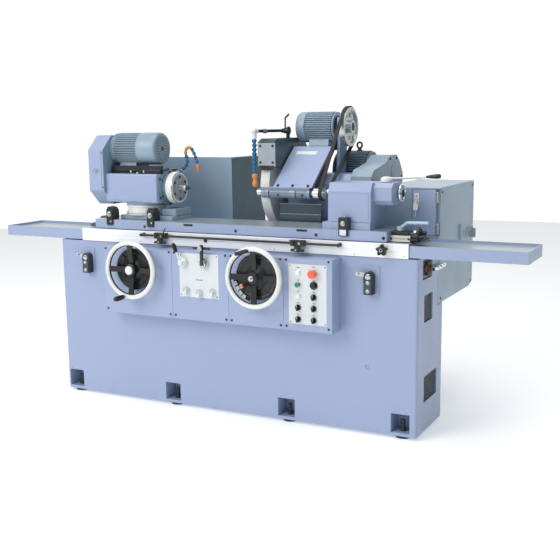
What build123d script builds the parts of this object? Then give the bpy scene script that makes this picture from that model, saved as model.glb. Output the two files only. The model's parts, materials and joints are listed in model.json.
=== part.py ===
"""Universal cylindrical grinder: bed, traversing table, workhead, tailstock and wheelhead.

Places are given from the left end and front face of the bed, +X right, +Y back, +Z up, in mm.
The functions below shift them to the model's frame, whose origin lies on the floor at the
middle of the machine's whole outline.
"""

from build123d import *
import math
import os

os.makedirs("parts", exist_ok=True)

# ---- overall layout
OUTLINE_CENTRE_X = 1051.5
OUTLINE_CENTRE_Y = 450.0
BED_LENGTH = 2000.0
BED_DEPTH = 370.0
BED_TOP = 838.0
FOOT_HEIGHT = 15.0
REAR_BED_LEFT = 290.0
REAR_BED_RIGHT = 1600.0
REAR_BED_BACK = 1150.0
REAR_BED_TOP = 850.0
WALL = 28.0

# ---- table
TABLE_LEFT = 150.0
TABLE_RIGHT = 1955.0
TABLE_BACK = 281.0
WING_LEFT_END = -375.0
WING_RIGHT_END = 2478.0
LOWER_TABLE_TOP = 905.0
APRON_FRONT = -8.0
SWIVEL_BOTTOM = 908.0
SWIVEL_TOP = 955.0
SWIVEL_FRONT = 8.0
SWIVEL_BACK = 250.0
SWIVEL_LEFT = 228.0
SWIVEL_RIGHT = 1847.0
SWIVEL_PIVOT_X = 1037.0

# ---- work axis
WORK_Y = 150.0
WORK_Z = 1117.0
WORKHEAD_PIVOT_X = 460.0
WORKHEAD_RIGHT = 600.0
GUARD_RIGHT = 284.0
NOSE_LEFT = 632.0
NOSE_RIGHT = 668.0
NOSE_RADIUS = 80.0
NOSE_BOLT_CIRCLE = 120.0
WORK_MOTOR_Y = 160.0
WORK_MOTOR_Z = 1316.0
TAIL_LEFT = 1548.0
TAIL_RIGHT = 1758.0
TAIL_HOUSING_RIGHT = 1848.0
QUILL_RADIUS = 30.0
QUILL_LEFT = 1520.0

# ---- wheelhead
WHEEL_RADIUS = 227.5
WHEEL_LEFT = 1058.0
WHEEL_RIGHT = 1108.0
WHEEL_Y = 528.0
WHEEL_Z = 1117.0
SPINDLE_RADIUS = 40.0
MAIN_MOTOR_Y = 750.0
MAIN_MOTOR_Z = 1185.0
HOUSING_LEFT = 1150.0
HOUSING_RIGHT = 1500.0
HOUSING_FRONT = 430.0
COVER_RIGHT = 1610.0

# ---- internal grinding attachment
ARM_PIVOT_Y = 600.0
ARM_PIVOT_Z = 1416.0
ARM_LEFT = 1148.0
ARM_RIGHT = 1361.0
SMALL_SPINDLE_Y = 262.0
SMALL_SPINDLE_Z = 1096.0
BELT_LEFT = 1410.0
BELT_RIGHT = 1428.0
BIG_PULLEY_RADIUS = 100.0
SMALL_PULLEY_RADIUS = 28.0
TRUNNION_RADIUS = 35.0

# ---- front controls
PANEL_FRONT = -95.0
PLATE_FRONT = -98.0
PANEL_LEFT = 350.0
PANEL_RIGHT = 1628.0
PANEL_BOTTOM = 487.0
PANEL_TOP = 828.0
TABLE_WHEEL = (554.0, 725.0)
INFEED_WHEEL = (1251.0, 731.0)
RIM_RADIUS = 137.0
RIM_Y = -150.0
GRIP_TIP = -250.0
BUTTON_LEFT_X = 1458.0
BUTTON_RIGHT_X = 1537.0
BUTTON_ROWS = (762.0, 707.0, 653.0, 600.0, 545.0)
VALVE = (838.0, 774.0)
REVERSER = (958.0, 776.0)
THROTTLES = ((851.0, 631.0), (925.0, 622.0), (999.0, 632.0))

# ---- electrical cabinet
CABINET_LEFT = 1700.0
CABINET_FRONT = 292.0
CABINET_BACK = 902.0
CABINET_BOTTOM = 585.0
CABINET_TOP = 1134.0

# ---- running clearance of a shaft in its bore
FIT = 0.05


def at(x, y, z):
    """A place on the machine in the model's frame."""
    return (x - OUTLINE_CENTRE_X, y - OUTLINE_CENTRE_Y, z)


def block(x, y, z, mode=Mode.ADD):
    """A box from three (low, high) pairs."""
    middle = at(sum(x) / 2, sum(y) / 2, sum(z) / 2)
    with Locations(middle):
        Box(x[1] - x[0], y[1] - y[0], z[1] - z[0], mode=mode)


def rod_x(x, y, z, radius, mode=Mode.ADD):
    """A round bar along X between the pair x."""
    with Locations(at(sum(x) / 2, y, z)):
        Cylinder(radius, x[1] - x[0], rotation=(0, 90, 0), mode=mode)


def rod_y(x, y, z, radius, mode=Mode.ADD):
    """A round bar along Y between the pair y."""
    with Locations(at(x, sum(y) / 2, z)):
        Cylinder(radius, y[1] - y[0], rotation=(90, 0, 0), mode=mode)


def rod_z(x, y, z, radius, mode=Mode.ADD):
    """A round bar along Z between the pair z."""
    with Locations(at(x, y, sum(z) / 2)):
        Cylinder(radius, z[1] - z[0], mode=mode)


def plate_x(x, outline, mode=Mode.ADD):
    """A plate whose (y, z) outline is extruded along X between the pair x."""
    with BuildSketch(Plane.YZ.offset(x[0] - OUTLINE_CENTRE_X)) as profile:
        with BuildLine():
            Polyline(*[(y - OUTLINE_CENTRE_Y, z) for y, z in outline], close=True)
        make_face()
    extrude(profile.sketch, amount=x[1] - x[0], mode=mode)


def finish(builder, name):
    """Label a piece and write it."""
    builder.part.label = name
    export_step(builder.part, f"parts/{name}.step")


def bar(start, end, radius, mode=Mode.ADD):
    """A round bar between two places."""
    low = Vector(*at(*start))
    high = Vector(*at(*end))
    run = high - low
    with BuildSketch(Plane(origin=low, z_dir=run)) as profile:
        Circle(radius)
    extrude(profile.sketch, amount=run.length, mode=mode)


def motor(x, y, z, radius, fan, bore, fins=28):
    """A finned motor along X; the fan cover takes the length fan, at the right when positive."""
    fin_depth = 0.12 * radius
    core = radius - fin_depth
    ribs = (x[0], x[1] - fan) if fan > 0 else (x[0] - fan, x[1])
    cap = (x[1] - fan, x[1]) if fan > 0 else (x[0], x[0] - fan)
    rod_x(x, y, z, core)
    rod_x(cap, y, z, radius)
    middle = (ribs[0] + ribs[1]) / 2
    with Locations(Location(at(middle, y, z), (0, 90, 0))):
        with PolarLocations(core + fin_depth / 2 - 2, fins):
            Box(fin_depth + 4, 0.07 * radius, ribs[1] - ribs[0] - 2)
    shaft_side = (x[0], x[0] + 90) if fan > 0 else (x[1] - 90, x[1])
    rod_x(shaft_side, y, z, bore, mode=Mode.SUBTRACT)


# ================================================================ bed
POCKETS = ((15, 106), (643, 733), (1297, 1387), (1878, 1968))
POCKET_SILL = 30.0
POCKET_TOP = 120.0
POCKET_DEPTH = 95.0
FOOT_Y = 45.0
SCREW_RADIUS = 9.0

with BuildPart() as bed_casting:
    block((0, BED_LENGTH), (0, BED_DEPTH), (FOOT_HEIGHT, BED_TOP))
    block((CABINET_LEFT - 2, BED_LENGTH), (CABINET_FRONT - 2, BED_DEPTH),
          (CABINET_BOTTOM - 2, BED_TOP), mode=Mode.SUBTRACT)
    fillet(bed_casting.edges().filter_by(Axis.Z).group_by(Axis.Y)[0], 12)
    for low, high in POCKETS:
        block((low, high), (0, POCKET_DEPTH), (POCKET_SILL, POCKET_TOP), mode=Mode.SUBTRACT)
        rod_z((low + high) / 2, FOOT_Y, (FOOT_HEIGHT, POCKET_SILL), SCREW_RADIUS + FIT,
              mode=Mode.SUBTRACT)
    # end windows
    block((BED_LENGTH - 12, BED_LENGTH), (66, 199), (736, 826), mode=Mode.SUBTRACT)
    block((BED_LENGTH - 12, BED_LENGTH), (91, 215), (535, 661), mode=Mode.SUBTRACT)
    block((BED_LENGTH - 12, BED_LENGTH), (103, 296), (154, 278), mode=Mode.SUBTRACT)
    # plugged core hole
    rod_y(1760, (0, 6), 325, 10, mode=Mode.SUBTRACT)
    # closed cavities of the casting
    for low, high in ((WALL, 986), (1014, BED_LENGTH - WALL)):
        block((low, high), (WALL, CABINET_FRONT - WALL - 2), (POCKET_TOP + 15, BED_TOP - WALL),
              mode=Mode.SUBTRACT)
    # flat way and vee way
    block((WALL, BED_LENGTH - WALL), (50, 100), (BED_TOP, 850))
    plate_x((WALL, BED_LENGTH - WALL), ((180, BED_TOP), (210, 862), (240, BED_TOP)))
    for shaft_x, shaft_z in (TABLE_WHEEL, INFEED_WHEEL):
        rod_y(shaft_x, (0, WALL), shaft_z, 15 + FIT, mode=Mode.SUBTRACT)
finish(bed_casting, "bed_casting")

REAR_FEET = ((360, 450), (1530, 450), (360, 1080), (1530, 1080))

with BuildPart() as rear_bed_casting:
    block((REAR_BED_LEFT, REAR_BED_RIGHT), (BED_DEPTH, REAR_BED_BACK), (FOOT_HEIGHT, REAR_BED_TOP))
    block((REAR_BED_LEFT + 100, REAR_BED_RIGHT - 100), (BED_DEPTH + 30, REAR_BED_BACK - 30),
          (60, REAR_BED_TOP - 35), mode=Mode.SUBTRACT)
    for low, high in ((1195, 1245), (1405, 1455)):
        block((low, high), (BED_DEPTH + 10, REAR_BED_BACK - 20), (REAR_BED_TOP, 865))
    for foot_x, foot_y in REAR_FEET:
        rod_z(foot_x, foot_y, (FOOT_HEIGHT, 45), SCREW_RADIUS + FIT, mode=Mode.SUBTRACT)
finish(rear_bed_casting, "rear_bed_casting")

with BuildPart() as levelling_feet:
    for low, high in POCKETS:
        rod_z((low + high) / 2, FOOT_Y, (0, FOOT_HEIGHT), 34)
        rod_z((low + high) / 2, FOOT_Y, (FOOT_HEIGHT, 84), SCREW_RADIUS)
        nut_x, nut_y, nut_z = at((low + high) / 2, FOOT_Y, POCKET_SILL)
        with BuildSketch(Plane.XY.offset(nut_z)):
            with Locations((nut_x, nut_y)):
                RegularPolygon(17, 6)
        extrude(amount=14)
    for foot_x, foot_y in REAR_FEET:
        rod_z(foot_x, foot_y, (0, FOOT_HEIGHT), 34)
        rod_z(foot_x, foot_y, (FOOT_HEIGHT, 45), SCREW_RADIUS)
finish(levelling_feet, "levelling_feet")

SLAT_COUNT = 4

SPLASH_LEFT = 250.0
SPLASH_RIGHT = 790.0
SPLASH_FRONT = 475.0
SPLASH_BACK = 860.0
SPLASH_TOP = 1256.0
SHEET = 4.0

with BuildPart() as rear_guards:
    # upright slatted cover between the table and the wheelhead
    slat = (1040 - BED_TOP) / SLAT_COUNT
    for index in range(SLAT_COUNT):
        low = BED_TOP + index * slat
        step = 3 * (SLAT_COUNT - index)
        block((1165, 1395), (296 + step, 318), (low, low + slat))
    # front, right and top sheets of the splash guard, standing on the rear bed
    block((REAR_BED_LEFT, SPLASH_RIGHT), (SPLASH_FRONT, SPLASH_FRONT + SHEET),
          (REAR_BED_TOP, SPLASH_TOP))
    block((SPLASH_LEFT, REAR_BED_LEFT), (SPLASH_FRONT, SPLASH_FRONT + SHEET), (905, SPLASH_TOP))
    block((SPLASH_RIGHT - SHEET, SPLASH_RIGHT), (SPLASH_FRONT, SPLASH_BACK),
          (REAR_BED_TOP, SPLASH_TOP))
    block((SPLASH_LEFT, SPLASH_RIGHT), (SPLASH_FRONT, SPLASH_FRONT + 40),
          (SPLASH_TOP, SPLASH_TOP + SHEET))
    block((SPLASH_RIGHT - 25, SPLASH_RIGHT), (SPLASH_FRONT, SPLASH_BACK),
          (SPLASH_TOP, SPLASH_TOP + SHEET))
    block((SPLASH_LEFT, SPLASH_LEFT + SHEET), (SPLASH_FRONT, SPLASH_FRONT + 120), (905, SPLASH_TOP))
finish(rear_guards, "rear_guards")

with BuildPart() as electrical_cabinet:
    block((CABINET_LEFT, BED_LENGTH), (CABINET_FRONT, CABINET_BACK), (CABINET_BOTTOM, CABINET_TOP))
    # closed space for the switchgear
    block((CABINET_LEFT + 4, BED_LENGTH - 4), (CABINET_FRONT + 24, CABINET_BACK - 4),
          (CABINET_BOTTOM + 28, CABINET_TOP - 4), mode=Mode.SUBTRACT)
    # seat of the door, and the relief along the lower back edge
    block((1868, BED_LENGTH), (CABINET_FRONT, CABINET_FRONT + 20), (910, 1128), mode=Mode.SUBTRACT)
    plate_x((CABINET_LEFT - 1, BED_LENGTH + 1),
            ((842, CABINET_BOTTOM), (842, CABINET_BOTTOM - 5), (CABINET_BACK + 5, CABINET_BOTTOM - 5),
             (CABINET_BACK + 5, 607), (CABINET_BACK, 605)),
            mode=Mode.SUBTRACT)
    # two lugs and a pin for each hinge of the door
    for low in (918, 1066):
        for lug in ((low, low + 6), (low + 44, low + 50)):
            block((BED_LENGTH - 11, BED_LENGTH - 3), (CABINET_FRONT + 3, CABINET_FRONT + 21), lug)
        rod_z(BED_LENGTH - 7, CABINET_FRONT + 7, (low + 3, low + 47), 3)
    # isolator bore, thin rod and bent rod at the back
    rod_x((BED_LENGTH - 4, BED_LENGTH), 826, 869, 6 + FIT, mode=Mode.SUBTRACT)
    rod_z(BED_LENGTH + 6, 645, (849, 930), 4)
    for height in (853, 926):
        rod_x((BED_LENGTH - 2, BED_LENGTH + 7), 645, height, 3)
    for height in (850, 880):
        rod_y(BED_LENGTH - 20, (CABINET_BACK - 2, CABINET_BACK + 62), height, 4)
    rod_z(BED_LENGTH - 20, CABINET_BACK + 60, (843, 887), 5)
finish(electrical_cabinet, "electrical_cabinet")

with BuildPart() as cabinet_door:
    block((1870, BED_LENGTH - 16), (CABINET_FRONT, CABINET_FRONT + 4), (912, 1126))
    for edge in ((1870, 1874), (BED_LENGTH - 20, BED_LENGTH - 16)):
        block(edge, (CABINET_FRONT, CABINET_FRONT + 18), (912, 1126))
    for edge in ((912, 916), (1122, 1126)):
        block((1870, BED_LENGTH - 16), (CABINET_FRONT, CABINET_FRONT + 18), edge)
    for low in (918, 1066):
        rod_z(BED_LENGTH - 7, CABINET_FRONT + 7, (low + 7, low + 43), 6)
        block((BED_LENGTH - 18, BED_LENGTH - 7), (CABINET_FRONT + 2, CABINET_FRONT + 6),
              (low + 7, low + 43))
        rod_z(BED_LENGTH - 7, CABINET_FRONT + 7, (low + 6, low + 44), 3 + FIT, mode=Mode.SUBTRACT)
    block((1878, 1904), (CABINET_FRONT - 2, CABINET_FRONT), (1042, 1108))
    rod_y(1891, (CABINET_FRONT - 2, CABINET_FRONT + 4), 1075, 5 + FIT, mode=Mode.SUBTRACT)
finish(cabinet_door, "cabinet_door")

with BuildPart() as cabinet_key:
    rod_y(1891, (CABINET_FRONT - 14, CABINET_FRONT), 1075, 5)
    block((1886, 1896), (CABINET_FRONT - 16, CABINET_FRONT - 13), (1058, 1079))
    block((1880, 1902), (CABINET_FRONT - 16, CABINET_FRONT - 13), (1030, 1058))
finish(cabinet_key, "cabinet_key")

with BuildPart() as isolator_knob:
    rod_x((BED_LENGTH - 3, BED_LENGTH + 6), 826, 869, 6)
    rod_x((BED_LENGTH + 6, BED_LENGTH + 18), 826, 869, 28)
    block((BED_LENGTH + 18, BED_LENGTH + 34), (819, 833), (845, 893))
finish(isolator_knob, "isolator_knob")

with BuildPart() as control_panel_box:
    block((PANEL_LEFT, PANEL_RIGHT), (PANEL_FRONT, 0), (PANEL_BOTTOM, PANEL_TOP))
    fillet(control_panel_box.edges().filter_by(Axis.Z).group_by(Axis.Y)[0], 6)
    block((PANEL_LEFT + 4, PANEL_RIGHT - 4), (PANEL_FRONT + 4, -4), (PANEL_BOTTOM + 4, PANEL_TOP - 4),
          mode=Mode.SUBTRACT)
    for shaft_x, shaft_z in (TABLE_WHEEL, INFEED_WHEEL):
        rod_y(shaft_x, (PANEL_FRONT, 0), shaft_z, 15 + FIT, mode=Mode.SUBTRACT)
    for control_x in (BUTTON_LEFT_X, BUTTON_RIGHT_X):
        for row in BUTTON_ROWS:
            rod_y(control_x, (PANEL_FRONT, PANEL_FRONT + 4), row, 8 + FIT, mode=Mode.SUBTRACT)
    for control_x, control_z in (VALVE, REVERSER) + THROTTLES:
        rod_y(control_x, (PANEL_FRONT, PANEL_FRONT + 4), control_z, 8 + FIT, mode=Mode.SUBTRACT)
finish(control_panel_box, "control_panel_box")

PANEL_SCREW_COLUMNS = (368, 752, 782, 1072, 1102, 1366, 1396, 1610)

SWITCHES = ((188, 156, 221), (1777, 1728, 1820))

with BuildPart() as front_fittings:
    # backing plate, body and roller arm of the switch at each end of the bed's front
    for body_x, low, high in SWITCHES:
        block((low, high), (-4, 0), (669, 800))
        block((body_x - 24, body_x + 24), (-46, -4), (670, 754))
        rod_y(body_x, (-46, -4), 754, 24)
        block((body_x - 52, body_x - 10), (-40, -30), (760, 770))
        rod_y(body_x - 52, (-44, -26), 765, 9)
    # hydraulic plate, electrical plate, screws and the two signal lamps
    block((812, 1034), (PLATE_FRONT, PANEL_FRONT), (604, 820))
    block((1409, 1601), (PLATE_FRONT, PANEL_FRONT), (521, 802))
    for control_x in (BUTTON_LEFT_X, BUTTON_RIGHT_X):
        for row in BUTTON_ROWS:
            rod_y(control_x, (PLATE_FRONT, PANEL_FRONT), row, 8 + FIT, mode=Mode.SUBTRACT)
    for control_x, control_z in (VALVE, REVERSER) + THROTTLES:
        rod_y(control_x, (PLATE_FRONT, PANEL_FRONT), control_z, 8 + FIT, mode=Mode.SUBTRACT)
    for row in (762, 653):
        rod_y(BUTTON_LEFT_X, (PLATE_FRONT - 8, PANEL_FRONT), row, 12)
    for screw_x in PANEL_SCREW_COLUMNS:
        for screw_z in (507, 819):
            rod_y(screw_x, (PANEL_FRONT - 3, PANEL_FRONT), screw_z, 5)
finish(front_fittings, "front_fittings")


def stem(x, z):
    """The stem of a control, from its cap through the plate and the panel."""
    rod_y(x, (PLATE_FRONT - 10, PANEL_FRONT + 3), z, 8)


with BuildPart() as emergency_stop:
    stem(BUTTON_RIGHT_X, BUTTON_ROWS[0])
    rod_y(BUTTON_RIGHT_X, (PLATE_FRONT - 32, PLATE_FRONT - 10), BUTTON_ROWS[0], 20)
    fillet(emergency_stop.edges().filter_by(GeomType.CIRCLE).group_by(Axis.Y)[0], 6)
finish(emergency_stop, "emergency_stop")

for name, button_x, row in (("green_button", BUTTON_LEFT_X, 1), ("black_button", BUTTON_RIGHT_X, 1)):
    with BuildPart() as button:
        stem(button_x, BUTTON_ROWS[row])
        rod_y(button_x, (PLATE_FRONT - 16, PLATE_FRONT - 8), BUTTON_ROWS[row], 12)
    finish(button, name)

SELECTORS = ((BUTTON_LEFT_X, 3), (BUTTON_LEFT_X, 4), (BUTTON_RIGHT_X, 2), (BUTTON_RIGHT_X, 3),
             (BUTTON_RIGHT_X, 4))

for number, (knob_x, row) in enumerate(SELECTORS, start=1):
    with BuildPart() as selector:
        rod_y(knob_x, (PLATE_FRONT, PANEL_FRONT + 3), BUTTON_ROWS[row], 8)
        rod_y(knob_x, (PLATE_FRONT - 8, PLATE_FRONT - 0.3), BUTTON_ROWS[row], 14)
        rod_y(knob_x, (PLATE_FRONT - 1, PLATE_FRONT), BUTTON_ROWS[row], 8)
        block((knob_x - 4, knob_x + 4), (PLATE_FRONT - 20, PLATE_FRONT - 8),
              (BUTTON_ROWS[row] - 13, BUTTON_ROWS[row] + 13))
    finish(selector, f"selector_{number}")

for number, (knob_x, knob_z) in enumerate(THROTTLES, start=1):
    with BuildPart() as throttle:
        rod_y(knob_x, (PLATE_FRONT - 8, PANEL_FRONT + 3), knob_z, 8)
        rod_y(knob_x, (PLATE_FRONT - 26, PLATE_FRONT - 8), knob_z, 15)
        with Locations(Location(at(knob_x, PLATE_FRONT - 17, knob_z), (90, 0, 0))):
            with PolarLocations(15, 12):
                Cylinder(1.6, 18, mode=Mode.SUBTRACT)
    finish(throttle, f"throttle_knob_{number}")

with BuildPart() as table_start_lever:
    rod_y(VALVE[0], (PLATE_FRONT - 22, PANEL_FRONT + 3), VALVE[1], 8)
    rod_y(VALVE[0], (PLATE_FRONT - 24, PLATE_FRONT - 1), VALVE[1], 24)
    bar((VALVE[0], PLATE_FRONT - 30, VALVE[1]), (VALVE[0] - 34, PLATE_FRONT - 30, VALVE[1] + 80), 5)
    rod_y(VALVE[0], (PLATE_FRONT - 36, PLATE_FRONT - 22), VALVE[1], 10)
    bar((VALVE[0] - 24, PLATE_FRONT - 30, VALVE[1] + 56),
        (VALVE[0] - 40, PLATE_FRONT - 30, VALVE[1] + 94), 10)
finish(table_start_lever, "table_start_lever")

with BuildPart() as reversing_lever:
    rod_y(REVERSER[0], (PLATE_FRONT - 22, PANEL_FRONT + 3), REVERSER[1], 8)
    rod_y(REVERSER[0], (PLATE_FRONT - 22, PLATE_FRONT - 1), REVERSER[1], 20)
    block((REVERSER[0] - 7, REVERSER[0] + 7), (PLATE_FRONT - 32, PLATE_FRONT - 20),
          (REVERSER[1] - 8, REVERSER[1] + 92))
    block((REVERSER[0] - 46, REVERSER[0] + 46), (PLATE_FRONT - 31, PLATE_FRONT - 21),
          (REVERSER[1] + 70, REVERSER[1] + 82))
    rod_y(REVERSER[0], (PLATE_FRONT - 46, PLATE_FRONT - 22), REVERSER[1] + 76, 12)
finish(reversing_lever, "reversing_lever")


def rim(place, axis, radius, half):
    """A ring of eight-sided section round an axis through a place."""
    flat = half * (math.sqrt(2) - 1)
    section = ((half, flat), (flat, half), (-flat, half), (-half, flat), (-half, -flat),
               (-flat, -half), (flat, -half), (half, -flat))
    if axis == Axis.Y:
        turn = (-90, 0, 0)
    else:
        turn = (0, 90, 0)
    with BuildSketch(Plane.XZ) as profile:
        with BuildLine():
            Polyline(*[(radius + across, along) for across, along in section], close=True)
        make_face()
    with BuildPart(mode=Mode.PRIVATE) as ring:
        revolve(profile.sketch, axis=Axis.Z)
    add(ring.part.moved(Location(place, turn)))


def handwheel(centre, dial_radius):
    """Rim, hub, spokes, dial and shaft of a handwheel on an axis along Y."""
    x, z = centre
    rod_y(x, (RIM_Y - 20, 120), z, 15)
    rod_y(x, (RIM_Y - 16, RIM_Y + 16), z, 34)
    rod_y(x, (RIM_Y + 16, RIM_Y + 30), z, 26)
    rod_y(x, (RIM_Y + 30, PANEL_FRONT - 4), z, dial_radius)
    rim(at(x, RIM_Y, z), Axis.Y, RIM_RADIUS, 11)
    for angle in (0, 90, 180, 270):
        reach = math.radians(angle)
        bar((x, RIM_Y, z),
            (x + RIM_RADIUS * math.cos(reach), RIM_Y, z + RIM_RADIUS * math.sin(reach)), 8)


GRIP_ANGLE = math.radians(258)

with BuildPart() as table_handwheel:
    handwheel(TABLE_WHEEL, 105)
    grip_x = TABLE_WHEEL[0] + RIM_RADIUS * math.cos(GRIP_ANGLE)
    grip_z = TABLE_WHEEL[1] + RIM_RADIUS * math.sin(GRIP_ANGLE)
    rod_y(grip_x, (RIM_Y - 30, RIM_Y + 4), grip_z, 7)
    rod_y(grip_x, (GRIP_TIP, RIM_Y - 24), grip_z, 13)
finish(table_handwheel, "table_handwheel")

FOLD_ANGLE = math.radians(126)

with BuildPart() as infeed_handwheel:
    handwheel(INFEED_WHEEL, 110)
    fold_x = INFEED_WHEEL[0] + RIM_RADIUS * math.cos(FOLD_ANGLE)
    fold_z = INFEED_WHEEL[1] + RIM_RADIUS * math.sin(FOLD_ANGLE)
    rod_y(fold_x, (RIM_Y - 22, RIM_Y + 4), fold_z, 8)
    bar((fold_x - 5, RIM_Y - 16, fold_z - 2), (fold_x + 66, RIM_Y - 16, fold_z + 20), 9)
    rod_y(INFEED_WHEEL[0], (RIM_Y - 40, RIM_Y - 16), INFEED_WHEEL[1], 20)
finish(infeed_handwheel, "infeed_handwheel")

# ================================================================ table
with BuildPart() as lower_table:
    block((TABLE_LEFT, TABLE_RIGHT), (0, TABLE_BACK), (BED_TOP + 4, LOWER_TABLE_TOP))
    block((TABLE_LEFT, TABLE_RIGHT), (49.6, 100.4), (BED_TOP, 850.3), mode=Mode.SUBTRACT)
    plate_x((TABLE_LEFT, TABLE_RIGHT),
            ((170, BED_TOP), (179, BED_TOP), (210, 863.2), (241, BED_TOP), (250, BED_TOP - 1)),
            mode=Mode.SUBTRACT)
    # pivot of the swivel table
    rod_z(SWIVEL_PIVOT_X, WORK_Y, (LOWER_TABLE_TOP, SWIVEL_TOP - 20), 24)
finish(lower_table, "lower_table")

WING_LIP = 12.0

with BuildPart() as table_wings:
    # shallow trays with a raised lip, one at each end
    for low, high in ((WING_LEFT_END, TABLE_LEFT), (TABLE_RIGHT, WING_RIGHT_END)):
        block((low, high), (0, TABLE_BACK), (BED_TOP + 6, 898))
        block((low + 5, high - 5), (5, TABLE_BACK - 5), (898 - WING_LIP, 898), mode=Mode.SUBTRACT)
    # grooves over the ways, closed at the right end
    for low, high in ((WING_LEFT_END, TABLE_LEFT), (TABLE_RIGHT, WING_RIGHT_END - 10)):
        block((low, high), (48, 102), (BED_TOP, 852), mode=Mode.SUBTRACT)
        block((low, high), (176, 244), (BED_TOP, 866), mode=Mode.SUBTRACT)
finish(table_wings, "table_wings")

RAIL_Y = -30.0
RAIL_Z = 888.0
RAIL = (535, 1641)
STAR = (1840.0, 878.0)

with BuildPart() as table_apron:
    # front plate, and the rail that carries the trip dogs
    block((TABLE_LEFT, TABLE_RIGHT), (APRON_FRONT, 0), (BED_TOP + 2, LOWER_TABLE_TOP))
    rod_x(RAIL, RAIL_Y, RAIL_Z, 6)
    for end in (RAIL[0] + 12, RAIL[1] - 12):
        rod_y(end, (RAIL_Y, APRON_FRONT), RAIL_Z, 7)
    rod_y(STAR[0], (APRON_FRONT, 0), STAR[1], 8 + FIT, mode=Mode.SUBTRACT)
finish(table_apron, "table_apron")

for name, dog_x in (("trip_dog_left", 663), ("trip_dog_right", 1426)):
    with BuildPart() as dog:
        block((dog_x - 34, dog_x + 34), (RAIL_Y - 13, RAIL_Y + 15), (RAIL_Z - 13, RAIL_Z + 15))
        block((dog_x - 12, dog_x + 12), (RAIL_Y - 17, RAIL_Y - 5), (RAIL_Z - 40, RAIL_Z - 10))
        rod_y(dog_x - 20, (RAIL_Y - 24, RAIL_Y - 13), RAIL_Z + 4, 7)
        rod_x((dog_x - 34, dog_x + 34), RAIL_Y, RAIL_Z, 6 + FIT, mode=Mode.SUBTRACT)
    finish(dog, name)

with BuildPart() as star_knob:
    rod_y(STAR[0], (-30, -3), STAR[1], 8)
    rod_y(STAR[0], (-52, -24), STAR[1], 20)
    with Locations(Location(at(STAR[0], -38, STAR[1]), (90, 0, 0))):
        with PolarLocations(19, 5):
            Cylinder(8, 28)
finish(star_knob, "star_knob")

SLOTS = (802, 1428)

with BuildPart() as swivel_table:
    block((SWIVEL_LEFT, SWIVEL_RIGHT), (SWIVEL_FRONT, SWIVEL_BACK), (SWIVEL_BOTTOM, SWIVEL_TOP))
    rod_z(SWIVEL_PIVOT_X, WORK_Y, (SWIVEL_BOTTOM, SWIVEL_TOP - 18), 24 + FIT, mode=Mode.SUBTRACT)
    # clamp slots with their plates
    for slot_x in SLOTS:
        block((slot_x - 27, slot_x + 27), (SWIVEL_FRONT, SWIVEL_FRONT + 6), (938, 949),
              mode=Mode.SUBTRACT)
finish(swivel_table, "swivel_table")

LOCK_LEVER = (1880.0, 100.0)

with BuildPart() as swivel_end_fittings:
    # dark bracket at the left end; scale, screw and dial block at the right end
    block((150, SWIVEL_LEFT), (60, 190), (SWIVEL_BOTTOM, 941))
    block((190, SWIVEL_LEFT + 30), (80, 170), (SWIVEL_TOP, SWIVEL_TOP + 8))
    block((SWIVEL_LEFT - 20, SWIVEL_LEFT), (80, 170), (941, SWIVEL_TOP + 8))
    block((SWIVEL_RIGHT, 1990), (40, 150), (SWIVEL_BOTTOM, 938))
    block((SWIVEL_RIGHT, 1930), (60, 140), (938, 952))
    rod_x((1925, 2005), 64, 930, 15)
    rod_x((1960, 1976), 100, 948, 26)
    rod_z(LOCK_LEVER[0], LOCK_LEVER[1], (940, 952), 8 + FIT, mode=Mode.SUBTRACT)
finish(swivel_end_fittings, "swivel_end_fittings")

with BuildPart() as swivel_lock_lever:
    rod_z(LOCK_LEVER[0], LOCK_LEVER[1], (941, 960), 8)
    rod_z(LOCK_LEVER[0], LOCK_LEVER[1], (953, 972), 16)
    bar((LOCK_LEVER[0], LOCK_LEVER[1], 964), (LOCK_LEVER[0] + 34, LOCK_LEVER[1], 990), 8)
    bar((LOCK_LEVER[0] + 31, LOCK_LEVER[1], 988), (LOCK_LEVER[0] + 130, LOCK_LEVER[1], 990), 8)
finish(swivel_lock_lever, "swivel_lock_lever")

# ================================================================ workhead
with BuildPart() as workhead_base:
    block((350, 676), (60, 240), (SWIVEL_TOP, 978))
    block((590, 676), (90, 240), (978, 1012))
    rod_z(WORKHEAD_PIVOT_X, WORK_Y, (978, 1029), 105)
    for clamp_x in (326, 580):
        block((clamp_x - 21, clamp_x + 21), (8, 60 if clamp_x > 350 else 64),
              (SWIVEL_TOP + 0.5, 1022))
        block((clamp_x - 21, clamp_x + 21), (-2, 7), (925, 1005))
        block((clamp_x - 21, clamp_x + 21), (-2, 10), (960, 1005))
    block((326, 352), (60, 120), (SWIVEL_TOP + 0.5, 975))
finish(workhead_base, "workhead_base")

WORK_SHAFT = 35.0

with BuildPart() as workhead_body:
    block((GUARD_RIGHT, WORKHEAD_RIGHT), (40, 326), (1042, 1190))
    fillet(workhead_body.edges().filter_by(Axis.X).group_by(Axis.Y)[0], 10)
    rod_z(WORKHEAD_PIVOT_X, WORK_Y, (1030, 1044), 103)
    rod_x((WORKHEAD_RIGHT, 628), WORK_Y, WORK_Z, 70)
    rod_x((GUARD_RIGHT, 628), WORK_Y, WORK_Z, WORK_SHAFT + FIT, mode=Mode.SUBTRACT)
finish(workhead_body, "workhead_body")

WORK_GUARD_OUTLINE = ((20, 1102), (20, 1311), (98, 1385), (270, 1385), (300, 1350), (300, 1060),
                      (262, 1027), (98, 1027))


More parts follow.
